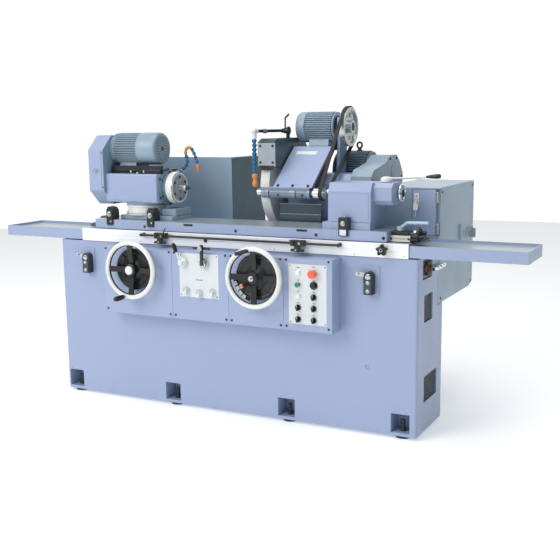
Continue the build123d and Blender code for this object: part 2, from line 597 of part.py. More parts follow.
def inset(outline, margin):
    """A convex outline shrunk towards its middle by about the margin on every side."""
    middle_y = (min(y for y, z in outline) + max(y for y, z in outline)) / 2
    middle_z = (min(z for y, z in outline) + max(z for y, z in outline)) / 2
    half_y = max(y for y, z in outline) - middle_y
    half_z = max(z for y, z in outline) - middle_z
    return [(middle_y + (y - middle_y) * (half_y - margin) / half_y,
             middle_z + (z - middle_z) * (half_z - margin) / half_z) for y, z in outline]


with BuildPart() as workhead_belt_guard:
    plate_x((191, GUARD_RIGHT), WORK_GUARD_OUTLINE)
    plate_x((195, GUARD_RIGHT - 4), inset(WORK_GUARD_OUTLINE, 4), mode=Mode.SUBTRACT)
    rod_x((GUARD_RIGHT - 5, GUARD_RIGHT), WORK_Y, WORK_Z, WORK_SHAFT + FIT, mode=Mode.SUBTRACT)
    rod_x((GUARD_RIGHT - 5, GUARD_RIGHT), WORK_MOTOR_Y, WORK_MOTOR_Z, 12 + FIT,
          mode=Mode.SUBTRACT)
finish(workhead_belt_guard, "workhead_belt_guard")

with BuildPart() as workhead_motor:
    # motor on its feet, and the black plate with its tensioning lever below
    motor((290, 592), WORK_MOTOR_Y, WORK_MOTOR_Z, 83, 145, 12 + FIT)
    rod_x((GUARD_RIGHT, 300), WORK_MOTOR_Y, WORK_MOTOR_Z, 80)
    rod_x((GUARD_RIGHT, 300), WORK_MOTOR_Y, WORK_MOTOR_Z, 12 + FIT, mode=Mode.SUBTRACT)
    block((320, 430), (WORK_MOTOR_Y - 55, WORK_MOTOR_Y + 55), (1210, 1252))
    block((GUARD_RIGHT + 4, 603), (76, 236), (1190, 1210))
    bar((590, 90, 1200), (640, 90, 1216), 7)
finish(workhead_motor, "workhead_motor")

with BuildPart() as work_spindle:
    rod_x((226, NOSE_LEFT), WORK_Y, WORK_Z, WORK_SHAFT)
    rod_x((NOSE_LEFT, NOSE_RIGHT), WORK_Y, WORK_Z, NOSE_RADIUS)
    rod_x((232, 262), WORK_Y, WORK_Z, 70)
    with Locations(Location(at(NOSE_RIGHT - 12, WORK_Y, WORK_Z), (0, 90, 0))):
        with PolarLocations(NOSE_BOLT_CIRCLE / 2, 6):
            Cylinder(5, 24, mode=Mode.SUBTRACT)
    # centre in the nose
    with BuildSketch(Plane.XY) as centre_profile:
        with BuildLine():
            Polyline(at(NOSE_RIGHT, WORK_Y, 0)[:2], at(NOSE_RIGHT, WORK_Y + 17, 0)[:2],
                     at(706, WORK_Y + 15, 0)[:2], at(740, WORK_Y, 0)[:2], close=True)
        make_face()
    spun = Axis((0, WORK_Y - OUTLINE_CENTRE_Y, 0), (1, 0, 0))
    with BuildPart(mode=Mode.PRIVATE) as centre_tip:
        revolve(centre_profile.sketch, axis=spun)
    add(centre_tip.part.moved(Location((0, 0, WORK_Z))))
finish(work_spindle, "work_spindle")

with BuildPart() as workhead_motor_pulley:
    rod_x((226, 360), WORK_MOTOR_Y, WORK_MOTOR_Z, 12)
    rod_x((232, 262), WORK_MOTOR_Y, WORK_MOTOR_Z, 42)
finish(workhead_motor_pulley, "workhead_motor_pulley")

# ================================================================ tailstock
TAIL_BACK = 221.0
HOUSING_OUTLINE = ((66, 1088), (66, 1146), (92, 1166), (195, 1166), (TAIL_BACK, 1146),
                   (TAIL_BACK, 1088), (195, 1066), (92, 1066))
LEVER_HUB_X = 1792.0

with BuildPart() as tailstock_body:
    plate_x((TAIL_LEFT, TAIL_RIGHT), ((40, 985), (40, 1128), (62, 1166), (TAIL_BACK, 1166), (TAIL_BACK, 985)))
    block((1522, TAIL_RIGHT), (34, TAIL_BACK), (SWIVEL_TOP, 986))
    plate_x((TAIL_RIGHT - 4, TAIL_HOUSING_RIGHT), HOUSING_OUTLINE)
    rod_x((TAIL_LEFT, TAIL_HOUSING_RIGHT - 10), WORK_Y, WORK_Z, QUILL_RADIUS + FIT,
          mode=Mode.SUBTRACT)
    rod_x((TAIL_HOUSING_RIGHT - 12, TAIL_HOUSING_RIGHT), WORK_Y, WORK_Z, 10 + FIT,
          mode=Mode.SUBTRACT)
    rod_z(LEVER_HUB_X, WORK_Y, (1150, 1166), 12 + FIT, mode=Mode.SUBTRACT)
    # clamp at the front edge of the table
    block((1618, 1664), (14, 34), (SWIVEL_TOP + 0.5, 1012))
    block((1618, 1664), (-4, 14), (960, 1012))
    block((1618, 1664), (-4, 7), (928, 960))
    block((1622, 1660), (30, 42), (990, 1012))
finish(tailstock_body, "tailstock_body")

with BuildPart() as tailstock_quill:
    rod_x((QUILL_LEFT, 1790), WORK_Y, WORK_Z, QUILL_RADIUS)
    with BuildSketch(Plane.XY) as cone_profile:
        with BuildLine():
            Polyline(at(QUILL_LEFT, WORK_Y, 0)[:2], at(QUILL_LEFT, WORK_Y + 14, 0)[:2],
                     at(1500, WORK_Y + 13, 0)[:2], at(1478, WORK_Y, 0)[:2], close=True)
        make_face()
    with BuildPart(mode=Mode.PRIVATE) as cone:
        revolve(cone_profile.sketch, axis=Axis((0, WORK_Y - OUTLINE_CENTRE_Y, 0), (1, 0, 0)))
    add(cone.part.moved(Location((0, 0, WORK_Z))))
finish(tailstock_quill, "tailstock_quill")

with BuildPart() as tailstock_lever:
    rod_z(LEVER_HUB_X, WORK_Y, (1152, 1168), 12)
    rod_z(LEVER_HUB_X, WORK_Y, (1167, 1192), 28)
    fillet(tailstock_lever.edges().filter_by(GeomType.CIRCLE).group_by(Axis.Z)[-1], 8)
    bar((LEVER_HUB_X + 20, WORK_Y, 1182), (1995, WORK_Y, 1194), 5)
    bar((1985, WORK_Y, 1193.4), (2050, WORK_Y, 1197.2), 11)
finish(tailstock_lever, "tailstock_lever")

with BuildPart() as tailstock_knob:
    rod_x((TAIL_HOUSING_RIGHT - 8, 1862), WORK_Y, WORK_Z, 10)
    rod_x((1852, 1878), WORK_Y, WORK_Z, 20)
    rim(at(1868, WORK_Y, WORK_Z), Axis.X, 38, 6)
    for angle in range(0, 360, 60):
        reach = math.radians(angle)
        bar((1868, WORK_Y, WORK_Z),
            (1868, WORK_Y + 38 * math.cos(reach), WORK_Z + 38 * math.sin(reach)), 4)
finish(tailstock_knob, "tailstock_knob")

# ================================================================ wheelhead
with BuildPart() as wheelhead_slide:
    block((1170, 1480), (440, 950), (853, 957))
    for low, high in ((1195, 1245), (1405, 1455)):
        block((low - 0.4, high + 0.4), (440, 950), (852, 865.4), mode=Mode.SUBTRACT)
finish(wheelhead_slide, "wheelhead_slide")

# the post is bolted on, so it stands just clear of the housing's top
POST_FOOT = 1180.05

with BuildPart() as wheelhead_housing:
    # box of the spindle, motor seat behind it and the post of the internal grinding arm
    plate_x((HOUSING_LEFT, HOUSING_RIGHT),
            ((HOUSING_FRONT, 957), (HOUSING_FRONT, 1130), (490, 1180), (630, 1180), (630, 1062),
             (950, 1062), (950, 957)))
    plate_x((1375, 1391),
            ((540, POST_FOOT), (552, 1340), (552, 1466), (648, 1466), (648, 1340),
             (628, POST_FOOT)))
    rod_x((1374, 1392), ARM_PIVOT_Y, ARM_PIVOT_Z, TRUNNION_RADIUS + FIT, mode=Mode.SUBTRACT)
    rod_x((HOUSING_LEFT, HOUSING_RIGHT), WHEEL_Y, WHEEL_Z, SPINDLE_RADIUS + FIT,
          mode=Mode.SUBTRACT)
finish(wheelhead_housing, "wheelhead_housing")

with BuildPart() as grinding_wheel:
    rod_x((WHEEL_LEFT, WHEEL_RIGHT), WHEEL_Y, WHEEL_Z, WHEEL_RADIUS)
    rod_x((WHEEL_LEFT, WHEEL_RIGHT), WHEEL_Y, WHEEL_Z, 63.5, mode=Mode.SUBTRACT)
finish(grinding_wheel, "grinding_wheel")

with BuildPart() as wheel_spindle:
    # flanges, shaft and driven pulley
    rod_x((1030, 1600), WHEEL_Y, WHEEL_Z, SPINDLE_RADIUS)
    rod_x((WHEEL_LEFT, WHEEL_RIGHT), WHEEL_Y, WHEEL_Z, 63.5)
    for low, high in ((1040, WHEEL_LEFT), (WHEEL_RIGHT, 1130)):
        rod_x((low, high), WHEEL_Y, WHEEL_Z, 96)
    rod_x((1512, 1590), WHEEL_Y, WHEEL_Z, 74)
finish(wheel_spindle, "wheel_spindle")

with BuildPart() as wheel_guard:
    GUARD_SIDE = ((296, 1218), (296, 1342), (332, 1362), (640, 1362), (790, 1230), (790, 880),
                  (640, 880), (640, 1218))
    plate_x((1047, 1051), GUARD_SIDE)
    plate_x((1136, 1140), GUARD_SIDE)
    block((1047, 1140), (296, 300), (1218, 1342))
    plate_x((1047, 1140), ((296, 1338), (296, 1342), (332, 1362), (333, 1358)))
    block((1047, 1140), (332, 640), (1358, 1362))
    plate_x((1047, 1140), ((640, 1358), (640, 1362), (790, 1230), (786, 1229)))
    block((1047, 1140), (786, 790), (880, 1230))
    block((1140, HOUSING_LEFT), (660, 780), (965, 1055))
finish(wheel_guard, "wheel_guard")

with BuildPart() as main_motor:
    motor((1300, 1496), MAIN_MOTOR_Y, MAIN_MOTOR_Z, 106, -46, 16 + FIT, fins=32)
    block((1330, 1460), (MAIN_MOTOR_Y - 70, MAIN_MOTOR_Y + 70), (1062, 1110))
    # eye bolt
    rod_z(1420, MAIN_MOTOR_Y, (1270, 1304), 8)
    with Locations(Location(at(1420, MAIN_MOTOR_Y, 1318), (90, 0, 0))):
        Torus(16, 5)
finish(main_motor, "main_motor")

with BuildPart() as main_motor_pulley:
    rod_x((1410, 1560), MAIN_MOTOR_Y, MAIN_MOTOR_Z, 16)
    rod_x((1520, 1580), MAIN_MOTOR_Y, MAIN_MOTOR_Z, 60)
finish(main_motor_pulley, "main_motor_pulley")

COVER_OUTLINE = ((430, 962), (430, 1172), (466, 1202), (640, 1232), (700, 1268), (800, 1268),
                 (850, 1232), (900, 1170), (900, 962))

with BuildPart() as belt_cover:
    plate_x((1500, COVER_RIGHT), COVER_OUTLINE)
    plate_x((1504, COVER_RIGHT - 4), inset(COVER_OUTLINE, 4), mode=Mode.SUBTRACT)
    rod_x((1499, 1505), WHEEL_Y, WHEEL_Z, SPINDLE_RADIUS + FIT, mode=Mode.SUBTRACT)
    rod_x((1499, 1505), MAIN_MOTOR_Y, MAIN_MOTOR_Z, 16 + FIT, mode=Mode.SUBTRACT)
finish(belt_cover, "belt_cover")

COOLANT_Y = 470.0
COOLANT_Z = 1400.0
HOSE_X = 1026.0
HOSE_Y = 300.0
BEAD_RADIUS = 13.5
BEAD_PITCH = 22.0
BEAD_COUNT = 8

with BuildPart() as coolant_line:
    # bracket on the wheel guard, valve body, pipe, elbow, jointed hose and nozzle
    block((1128, 1138), (COOLANT_Y - 14, COOLANT_Y + 14), (1362, COOLANT_Z - 14))
    rod_x((1132, 1142), COOLANT_Y, COOLANT_Z, 22)
    rod_x((1095, 1134), COOLANT_Y, COOLANT_Z, 15)
    bar((1100, COOLANT_Y, COOLANT_Z), (HOSE_X, HOSE_Y, COOLANT_Z), 8)
    bar((1058, 375, COOLANT_Z), (1048, 352, COOLANT_Z), 13)
    with Locations(at(HOSE_X, HOSE_Y, COOLANT_Z)):
        Sphere(16)
    rod_z(HOSE_X, HOSE_Y, (COOLANT_Z - 40, COOLANT_Z), 12)
    top = COOLANT_Z - 44
    rod_z(HOSE_X, HOSE_Y, (top - BEAD_PITCH * BEAD_COUNT, top + 10), 8)
    for index in range(BEAD_COUNT):
        with Locations(at(HOSE_X, HOSE_Y, top - BEAD_PITCH * (index + 0.5))):
            Sphere(BEAD_RADIUS)
    low = top - BEAD_PITCH * BEAD_COUNT
    with BuildSketch(Plane.XY.offset(low - 30)) as nozzle_mouth:
        with Locations(at(HOSE_X, HOSE_Y, 0)[:2]):
            Circle(8)
    with BuildSketch(Plane.XY.offset(low)) as nozzle_root:
        with Locations(at(HOSE_X, HOSE_Y, 0)[:2]):
            Circle(14)
    loft([nozzle_mouth.sketch.faces()[0], nozzle_root.sketch.faces()[0]])
    bar((HOSE_X, HOSE_Y, low - 26), (HOSE_X + 16, HOSE_Y - 12, low - 62), 9)
    rod_z(1118, COOLANT_Y, (COOLANT_Z, COOLANT_Z + 16), 4 + FIT, mode=Mode.SUBTRACT)
finish(coolant_line, "coolant_line")

with BuildPart() as coolant_valve_lever:
    rod_z(1118, COOLANT_Y, (COOLANT_Z + 2, COOLANT_Z + 66), 4)
    bar((1118, COOLANT_Y, COOLANT_Z + 64), (1140, COOLANT_Y, COOLANT_Z + 84), 5)
finish(coolant_valve_lever, "coolant_valve_lever")

with BuildPart() as work_coolant_hose:
    # jointed hose on the workhead, arched over the work
    places = ((612, 1200), (624, 1206), (642, 1220), (654, 1240), (652, 1263), (645, 1285),
              (645, 1307), (660, 1322), (680, 1316), (692, 1297), (702, 1277), (710, 1256),
              (716, 1234))
    for start, end in zip(places[:-1], places[1:]):
        bar((start[0], 250, start[1]), (end[0], 250, end[1]), 6)
    for bead_x, bead_z in places[1:]:
        with Locations(at(bead_x, 250, bead_z)):
            Sphere(10)
    bar((716, 250, 1230), (720, 250, 1188), 7)
    rod_x((WORKHEAD_RIGHT, 618), 250, 1176, 12)
    bar((612, 250, 1176), (612, 250, 1202), 6)
finish(work_coolant_hose, "work_coolant_hose")

# ================================================================ internal grinding attachment
BAR_RADIUS = 27.0

with BuildPart() as internal_arm:
    # leaning plate with its shelf, spindle housing and the cheek with the trunnion
    plate_x((ARM_LEFT, ARM_RIGHT),
            ((240, 1118), (262, 1122), (512, 1318), (684, 1318), (684, 1298), (530, 1298),
             (290, 1092), (262, 1092)))
    rod_x((1092, ARM_RIGHT), SMALL_SPINDLE_Y, SMALL_SPINDLE_Z, BAR_RADIUS)
    block((1092, ARM_RIGHT), (237, 272), (1106, 1124))
    plate_x((ARM_RIGHT, 1371),
            ((262, 1122), (512, 1318), (550, 1416), (562, 1448), (600, 1464), (638, 1448),
             (650, 1416), (684, 1318), (684, 1298), (530, 1298), (290, 1092), (262, 1092)))
    rod_x((1371, 1391), ARM_PIVOT_Y, ARM_PIVOT_Z, TRUNNION_RADIUS)
    rod_x((ARM_RIGHT, 1391), ARM_PIVOT_Y, ARM_PIVOT_Z, 13 + FIT, mode=Mode.SUBTRACT)
    rod_x((1090, 1372), SMALL_SPINDLE_Y, SMALL_SPINDLE_Z, 12 + FIT, mode=Mode.SUBTRACT)
finish(internal_arm, "internal_arm")

with BuildPart() as internal_motor:
    motor((1146, ARM_RIGHT), ARM_PIVOT_Y, ARM_PIVOT_Z, 80, -48, 13 + FIT)
    block((1215, 1330), (ARM_PIVOT_Y - 60, ARM_PIVOT_Y + 60), (1318, 1362))
finish(internal_motor, "internal_motor")

with BuildPart() as internal_pulley:
    # motor shaft and the large pulley with its web and hub
    rod_x((1290, 1436), ARM_PIVOT_Y, ARM_PIVOT_Z, 13)
    rod_x((1405, 1433), ARM_PIVOT_Y, ARM_PIVOT_Z, BIG_PULLEY_RADIUS)
    rod_x((1405, 1433), ARM_PIVOT_Y, ARM_PIVOT_Z, BIG_PULLEY_RADIUS - 14, mode=Mode.SUBTRACT)
    rod_x((1414, 1424), ARM_PIVOT_Y, ARM_PIVOT_Z, BIG_PULLEY_RADIUS - 13)
    rod_x((1405, 1444), ARM_PIVOT_Y, ARM_PIVOT_Z, 32)
finish(internal_pulley, "internal_pulley")

with BuildPart() as internal_spindle:
    rod_x((1066, 1436), SMALL_SPINDLE_Y, SMALL_SPINDLE_Z, 12)
    rod_x((1066, 1090), SMALL_SPINDLE_Y, SMALL_SPINDLE_Z, 18)
    rod_x((1380, 1432), SMALL_SPINDLE_Y, SMALL_SPINDLE_Z, SMALL_PULLEY_RADIUS)
finish(internal_spindle, "internal_spindle")

BELT_GAP = 0.4
BELT_THICKNESS = 6.0


def belt_outline(margin):
    """The loop round both pulleys, the margin outside them, as one face."""
    with BuildSketch(Plane.YZ.offset(BELT_LEFT - OUTLINE_CENTRE_X)) as loop:
        with Locations((ARM_PIVOT_Y - OUTLINE_CENTRE_Y, ARM_PIVOT_Z)):
            Circle(BIG_PULLEY_RADIUS + margin)
        with Locations((SMALL_SPINDLE_Y - OUTLINE_CENTRE_Y, SMALL_SPINDLE_Z)):
            Circle(SMALL_PULLEY_RADIUS + margin)
        make_hull()
    return loop.sketch


with BuildPart() as internal_belt:
    extrude(belt_outline(BELT_GAP + BELT_THICKNESS), amount=BELT_RIGHT - BELT_LEFT)
    extrude(belt_outline(BELT_GAP), amount=BELT_RIGHT - BELT_LEFT, mode=Mode.SUBTRACT)
finish(internal_belt, "internal_belt")
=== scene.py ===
"""Looks of the universal cylindrical grinder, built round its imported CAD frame.

Places are in mm from the bed's left end and front face, +X right, +Y back, +Z up from the floor,
as distances from the corner of the CAD bed. at() turns them into the frame's metres.
"""
import bmesh
import bpy
import json
from math import cos, pi, radians, sin
from mathutils import Matrix, Vector


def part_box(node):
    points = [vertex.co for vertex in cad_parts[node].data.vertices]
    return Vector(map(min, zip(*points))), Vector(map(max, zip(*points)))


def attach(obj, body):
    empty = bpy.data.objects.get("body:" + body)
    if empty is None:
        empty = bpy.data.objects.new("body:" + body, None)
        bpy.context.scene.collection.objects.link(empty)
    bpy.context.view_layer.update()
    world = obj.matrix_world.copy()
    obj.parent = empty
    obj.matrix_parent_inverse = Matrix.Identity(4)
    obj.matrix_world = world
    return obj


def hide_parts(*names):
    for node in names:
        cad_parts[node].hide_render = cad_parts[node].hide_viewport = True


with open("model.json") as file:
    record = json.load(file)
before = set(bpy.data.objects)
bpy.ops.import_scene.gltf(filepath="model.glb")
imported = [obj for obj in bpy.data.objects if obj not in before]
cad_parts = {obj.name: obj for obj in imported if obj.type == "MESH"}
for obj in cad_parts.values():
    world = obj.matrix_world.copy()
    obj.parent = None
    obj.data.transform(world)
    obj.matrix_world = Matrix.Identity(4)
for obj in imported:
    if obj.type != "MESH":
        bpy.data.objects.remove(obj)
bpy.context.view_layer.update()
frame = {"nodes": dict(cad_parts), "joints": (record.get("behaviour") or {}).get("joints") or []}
scene = bpy.context.scene
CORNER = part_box("bed_casting")[0]
X, Y, Z = range(3)
FRONT, RIGHT_WAY, UP = (0, -1, 0), (1, 0, 0), (0, 0, 1)


def at(x, y, z):
    """A place on the machine in the frame's metres."""
    return Vector((CORNER.x + x / 1000, CORNER.y + y / 1000, z / 1000))


# ================================================================ camera
YAW, PITCH, ROLL = radians(26.87), radians(9.82), radians(-0.67)
EYE = (2.1865, -4.245, 1.439)
camera_data = bpy.data.cameras.new("camera")
camera_data.lens = 58.3
camera_data.sensor_width = 36
camera_data.clip_end = 200
camera = bpy.data.objects.new("camera", camera_data)
scene.collection.objects.link(camera)
ahead = Vector((-sin(YAW) * cos(PITCH), cos(YAW) * cos(PITCH), -sin(PITCH)))
level = Vector((cos(YAW), sin(YAW), 0))
above = level.cross(ahead)
right = level * cos(ROLL) + above * sin(ROLL)
up = above * cos(ROLL) - level * sin(ROLL)
camera.matrix_world = Matrix((
    (right.x, up.x, -ahead.x, EYE[X]),
    (right.y, up.y, -ahead.y, EYE[Y]),
    (right.z, up.z, -ahead.z, EYE[Z]),
    (0, 0, 0, 1)))
scene.camera = camera


# ================================================================ materials
def join(tree, target, value):
    """Links a socket, or sets a plain value on the target itself."""
    if isinstance(value, bpy.types.NodeSocket):
        tree.links.new(value, target)
    else:
        target.default_value = value


def mix(tree, share, low, high):
    """A colour between low and high."""
    node = tree.nodes.new("ShaderNodeMix")
    node.data_type = "RGBA"
    join(tree, node.inputs[0], share)
    for slot, value in ((6, low), (7, high)):
        join(tree, node.inputs[slot], value)
    return node.outputs[2]


def spread(tree, value, low, high, out_low, out_high):
    """A value mapped from one range to another."""
    node = tree.nodes.new("ShaderNodeMapRange")
    join(tree, node.inputs[0], value)
    for slot, number in enumerate((low, high, out_low, out_high), start=1):
        join(tree, node.inputs[slot], number)
    return node.outputs[0]


def noise(tree, scale, detail=3.0, stretch=(1, 1, 1)):
    """Noise over the object's own coordinates, in metres, drawn out where stretch is small."""
    place = tree.nodes.new("ShaderNodeTexCoord")
    mapping = tree.nodes.new("ShaderNodeMapping")
    mapping.inputs["Scale"].default_value = stretch
    tree.links.new(place.outputs["Object"], mapping.inputs["Vector"])
    node = tree.nodes.new("ShaderNodeTexNoise")
    node.inputs["Scale"].default_value = scale
    node.inputs["Detail"].default_value = detail
    tree.links.new(mapping.outputs[0], node.inputs["Vector"])
    return node.outputs["Fac"]


def compare(tree, kind, a, b):
    """A math node."""
    node = tree.nodes.new("ShaderNodeMath")
    node.operation = kind
    join(tree, node.inputs[0], a)
    join(tree, node.inputs[1], b)
    return node.outputs[0]


def along(tree, kind, axis):
    """One axis of the object's own place or normal."""
    place = tree.nodes.new("ShaderNodeTexCoord")
    parts = tree.nodes.new("ShaderNodeSeparateXYZ")
    tree.links.new(place.outputs[kind], parts.inputs[0])
    return parts.outputs[axis]


def beyond(tree, axis, mm, side=1):
    """One where the object lies past a distance from the bed's corner along an axis, else zero."""
    limit = at(*(mm if index == axis else 0 for index in range(3)))[axis]
    return compare(tree, "GREATER_THAN" if side > 0 else "LESS_THAN", along(tree, "Object", axis), limit)


def facing_up(tree):
    """One on faces that point up, else zero."""
    return compare(tree, "GREATER_THAN", along(tree, "Normal", Z), 0.9)


def facing_right(tree):
    """One on faces that point right, else zero."""
    return compare(tree, "GREATER_THAN", along(tree, "Normal", X), 0.9)


def shade(color, factor):
    """A colour made lighter or darker, with alpha."""
    return tuple(min(1.0, part * factor) for part in color) + (1.0,)


def finish(name, color, rough, metal=0.0, mottle=0.06, patch=6.0, grain=900.0, relief=0.06,
           stretch=(1, 1, 1), wear=None, round_edge=0.0, coat=0.0, zones=()):
    """A material: mottled colour, uneven gloss, fine relief, worn edges and zones of another finish."""
    material = bpy.data.materials.new(name)
    material.use_nodes = True
    tree = material.node_tree
    surface = tree.nodes["Principled BSDF"]
    blotch = noise(tree, patch, 4.0)
    fine = noise(tree, grain, 2.0, stretch)
    tone = mix(tree, spread(tree, blotch, 0.35, 0.65, 0.0, 1.0), shade(color, 1 - mottle), shade(color,
        1 + mottle))
    streak = mix(tree, spread(tree, fine, 0.3, 0.7, 0.0, 1.0), tone, shade(color, 1 - mottle))
    tone = mix(tree, 0.35, tone, streak)
    gloss = spread(tree, noise(tree, patch * 3, 3.0), 0.3, 0.7, rough - 0.06, rough + 0.08)
    gloss = compare(tree, "ADD", gloss, spread(tree, fine, 0.3, 0.7, -0.03, 0.03))
    shine = metal
    smooth_normal = None
    if round_edge:
        edge = tree.nodes.new("ShaderNodeBevel")
        edge.samples = 3
        edge.inputs["Radius"].default_value = round_edge
        smooth_normal = edge.outputs[0]
    if wear:
        geometry = tree.nodes.new("ShaderNodeNewGeometry")
        corner = tree.nodes.new("ShaderNodeBevel")
        corner.samples = 2
        corner.inputs["Radius"].default_value = 0.0025
        turned = tree.nodes.new("ShaderNodeVectorMath")
        turned.operation = "DOT_PRODUCT"
        tree.links.new(corner.outputs[0], turned.inputs[0])
        tree.links.new(geometry.outputs["Normal"], turned.inputs[1])
        worn = compare(tree, "MULTIPLY", spread(tree, turned.outputs["Value"], 0.97, 0.88, 0.0, 0.8),
            spread(tree, noise(tree, 38.0, 5.0), 0.5, 0.62, 0.0, 1.0))
        tone = mix(tree, worn, tone, wear + (1.0,))
    for mask, zone_color, zone_rough, zone_metal in zones:
        chosen = mask(tree)
        streaks = mix(tree, spread(tree, fine, 0.3, 0.7, 0.0, 1.0), shade(zone_color, 0.88),
            shade(zone_color, 1.1))
        tone = mix(tree, chosen, tone, streaks)
        gloss = spread(tree, chosen, 0.0, 1.0, gloss, zone_rough)
        shine = spread(tree, chosen, 0.0, 1.0, shine, zone_metal)
    join(tree, surface.inputs["Base Color"], tone)
    join(tree, surface.inputs["Roughness"], gloss)
    join(tree, surface.inputs["Metallic"], shine)
    surface.inputs["Coat Weight"].default_value = coat
    bump = tree.nodes.new("ShaderNodeBump")
    bump.inputs["Strength"].default_value = relief
    bump.inputs["Distance"].default_value = 0.001
    tree.links.new(fine, bump.inputs["Height"])
    if smooth_normal:
        tree.links.new(smooth_normal, bump.inputs["Normal"])
    tree.links.new(bump.outputs[0], surface.inputs["Normal"])
    return material


PAINT = (0.335, 0.405, 0.59)
PAINT_WORN = (0.50, 0.56, 0.70)
GREY_TEAL = (0.27, 0.365, 0.45)
DARK_TEAL = (0.040, 0.072, 0.085)
GROUND = (0.52, 0.57, 0.59)

enamel = finish("enamel", PAINT, 0.38, grain=420, relief=0.05, mottle=0.012, wear=PAINT_WORN,
    round_edge=0.0025, coat=0.15)
# body paint darkened for the splash guard and the electrical cabinet: painted shade of their recessed places
# and of the tailstock's shadow
enamel_recess_shade = finish("enamel_recess_shade", (0.30, 0.40, 0.50), 0.40, grain=500, relief=0.03, mottle=0.02,
    patch=2.5, wear=PAINT_WORN, round_edge=0.0015, coat=0.1)
enamel_panel = finish("enamel_panel", PAINT, 0.34, grain=520, relief=0.03, mottle=0.025, patch=3.0,
    round_edge=0.002, coat=0.2)
# grey teal: the motors' own paint, and also painted shade where it stands for body paint on the shaded
# right-facing sides of the belt cover and the workhead plate
teal_paint_and_side_shade = finish("grey_teal_paint_and_side_shade", GREY_TEAL, 0.36, grain=300, relief=0.08, mottle=0.05,
    wear=(0.4, 0.46, 0.5), round_edge=0.0015, coat=0.15)
# dark teal: a dark paint made darker still by painted shade, matched to sides that lie in deep shade
dark_teal_and_shade = finish("dark_teal_paint_and_shade", DARK_TEAL, 0.34, grain=300, relief=0.08, mottle=0.12,
    wear=(0.2, 0.25, 0.27), round_edge=0.0015, coat=0.15)
# splash guard's right side: body paint darkened to teal as painted shade
side_painted_shade = finish("shaded_teal_enamel", (0.085, 0.15, 0.175), 0.42, grain=300, relief=0.04, mottle=0.05,
    round_edge=0.0015)
steel_blue = finish("steel_blue_band", (0.26, 0.31, 0.37), 0.3, metal=0.15, grain=500, relief=0.04,
    mottle=0.06)
# workhead end cover: body paint darkened to teal as painted shade, the shadow of the spindle nose
end_cover_painted_shade = finish("workhead_end_painted_shade", (0.17, 0.27, 0.33), 0.38, grain=300, relief=0.04, mottle=0.04,
    wear=(0.35, 0.42, 0.45), round_edge=0.002, coat=0.1)
motor_teal = finish("main_motor_enamel", (0.13, 0.205, 0.25), 0.36, grain=260, relief=0.1, mottle=0.07,
    wear=(0.3, 0.36, 0.4), round_edge=0.0012, coat=0.1)
off_white = finish("off_white_enamel", (0.80, 0.81, 0.78), 0.36, grain=500, relief=0.03, mottle=0.02,
    wear=(0.5, 0.5, 0.48), round_edge=0.0015, coat=0.2)
brushed_white = finish("brushed_apron", (0.93, 0.945, 0.94), 0.38, grain=160, relief=0.05,
    stretch=(0.03, 1, 1), mottle=0.05, patch=3.0, round_edge=0.001)
plate_white = finish("plate_white", (0.70, 0.74, 0.76), 0.32, grain=700, relief=0.02, mottle=0.02,
    round_edge=0.0008)
black_paint = finish("black_enamel", (0.018, 0.02, 0.022), 0.32, grain=300, relief=0.08, mottle=0.25,
    wear=(0.16, 0.17, 0.17), round_edge=0.001)
black_plastic = finish("black_phenolic", (0.008, 0.008, 0.009), 0.34, grain=600, relief=0.03, mottle=0.15,
    coat=0.05)
blackened = finish("blackened_steel", (0.045, 0.05, 0.05), 0.4, metal=0.55, grain=380, relief=0.12,
    mottle=0.25, wear=(0.35, 0.35, 0.34), round_edge=0.0008)
olive = finish("olive_cast", (0.10, 0.105, 0.075), 0.5, grain=160, relief=0.25, mottle=0.2,
    wear=(0.25, 0.25, 0.2), round_edge=0.0015)
steel = finish("ground_steel", (0.56, 0.575, 0.58), 0.24, metal=0.95, grain=240, relief=0.04,
    stretch=(0.05, 1, 1), mottle=0.08, round_edge=0.0006)
turned_steel = finish("turned_steel", (0.60, 0.61, 0.61), 0.22, metal=0.95, grain=500, relief=0.05,
    stretch=(1, 0.25, 0.25), mottle=0.07, round_edge=0.0005)
chrome = finish("chrome", (0.82, 0.83, 0.84), 0.08, metal=1.0, grain=800, relief=0.01, mottle=0.02)
aluminium = finish("turned_aluminium", (0.62, 0.64, 0.64), 0.30, metal=0.75, grain=520, relief=0.06,
    stretch=(1, 0.3, 0.3), mottle=0.08, round_edge=0.0008)
cast_silver = finish("silver_cover", (0.36, 0.41, 0.45), 0.36, metal=0.45, grain=300, relief=0.08,
    mottle=0.08, round_edge=0.001)
wheel_grit = finish("white_abrasive", (0.80, 0.80, 0.77), 0.85, grain=1100, relief=0.7, mottle=0.08,
    patch=60.0)
rubber = finish("belt_rubber", (0.014, 0.014, 0.015), 0.6, grain=700, relief=0.2, mottle=0.3)
blue_plastic = finish("blue_hose", (0.018, 0.14, 0.32), 0.35, grain=700, relief=0.03, mottle=0.08)
orange_plastic = finish("orange_nozzle", (0.80, 0.28, 0.05), 0.38, grain=700, relief=0.03, mottle=0.06)
red_plastic = finish("orange_red_button", (0.82, 0.13, 0.05), 0.28, grain=800, relief=0.02, mottle=0.04,
    coat=0.3)
green_plastic = finish("green_button_cap", (0.02, 0.22, 0.12), 0.28, grain=800, relief=0.02, mottle=0.05,
    coat=0.3)
lens_white = finish("lamp_lens", (0.85, 0.86, 0.86), 0.16, grain=900, relief=0.02, mottle=0.02, coat=0.5)
copper = finish("copper_knob_metal", (0.62, 0.30, 0.16), 0.25, metal=0.8, grain=500, relief=0.05,
    mottle=0.08)
rust_brown = finish("limit_valve_brown", (0.10, 0.045, 0.03), 0.55, grain=260, relief=0.2, mottle=0.3)
beige = finish("beige_scale_plate", (0.52, 0.52, 0.44), 0.35, metal=0.3, grain=500, relief=0.05,
    mottle=0.05)
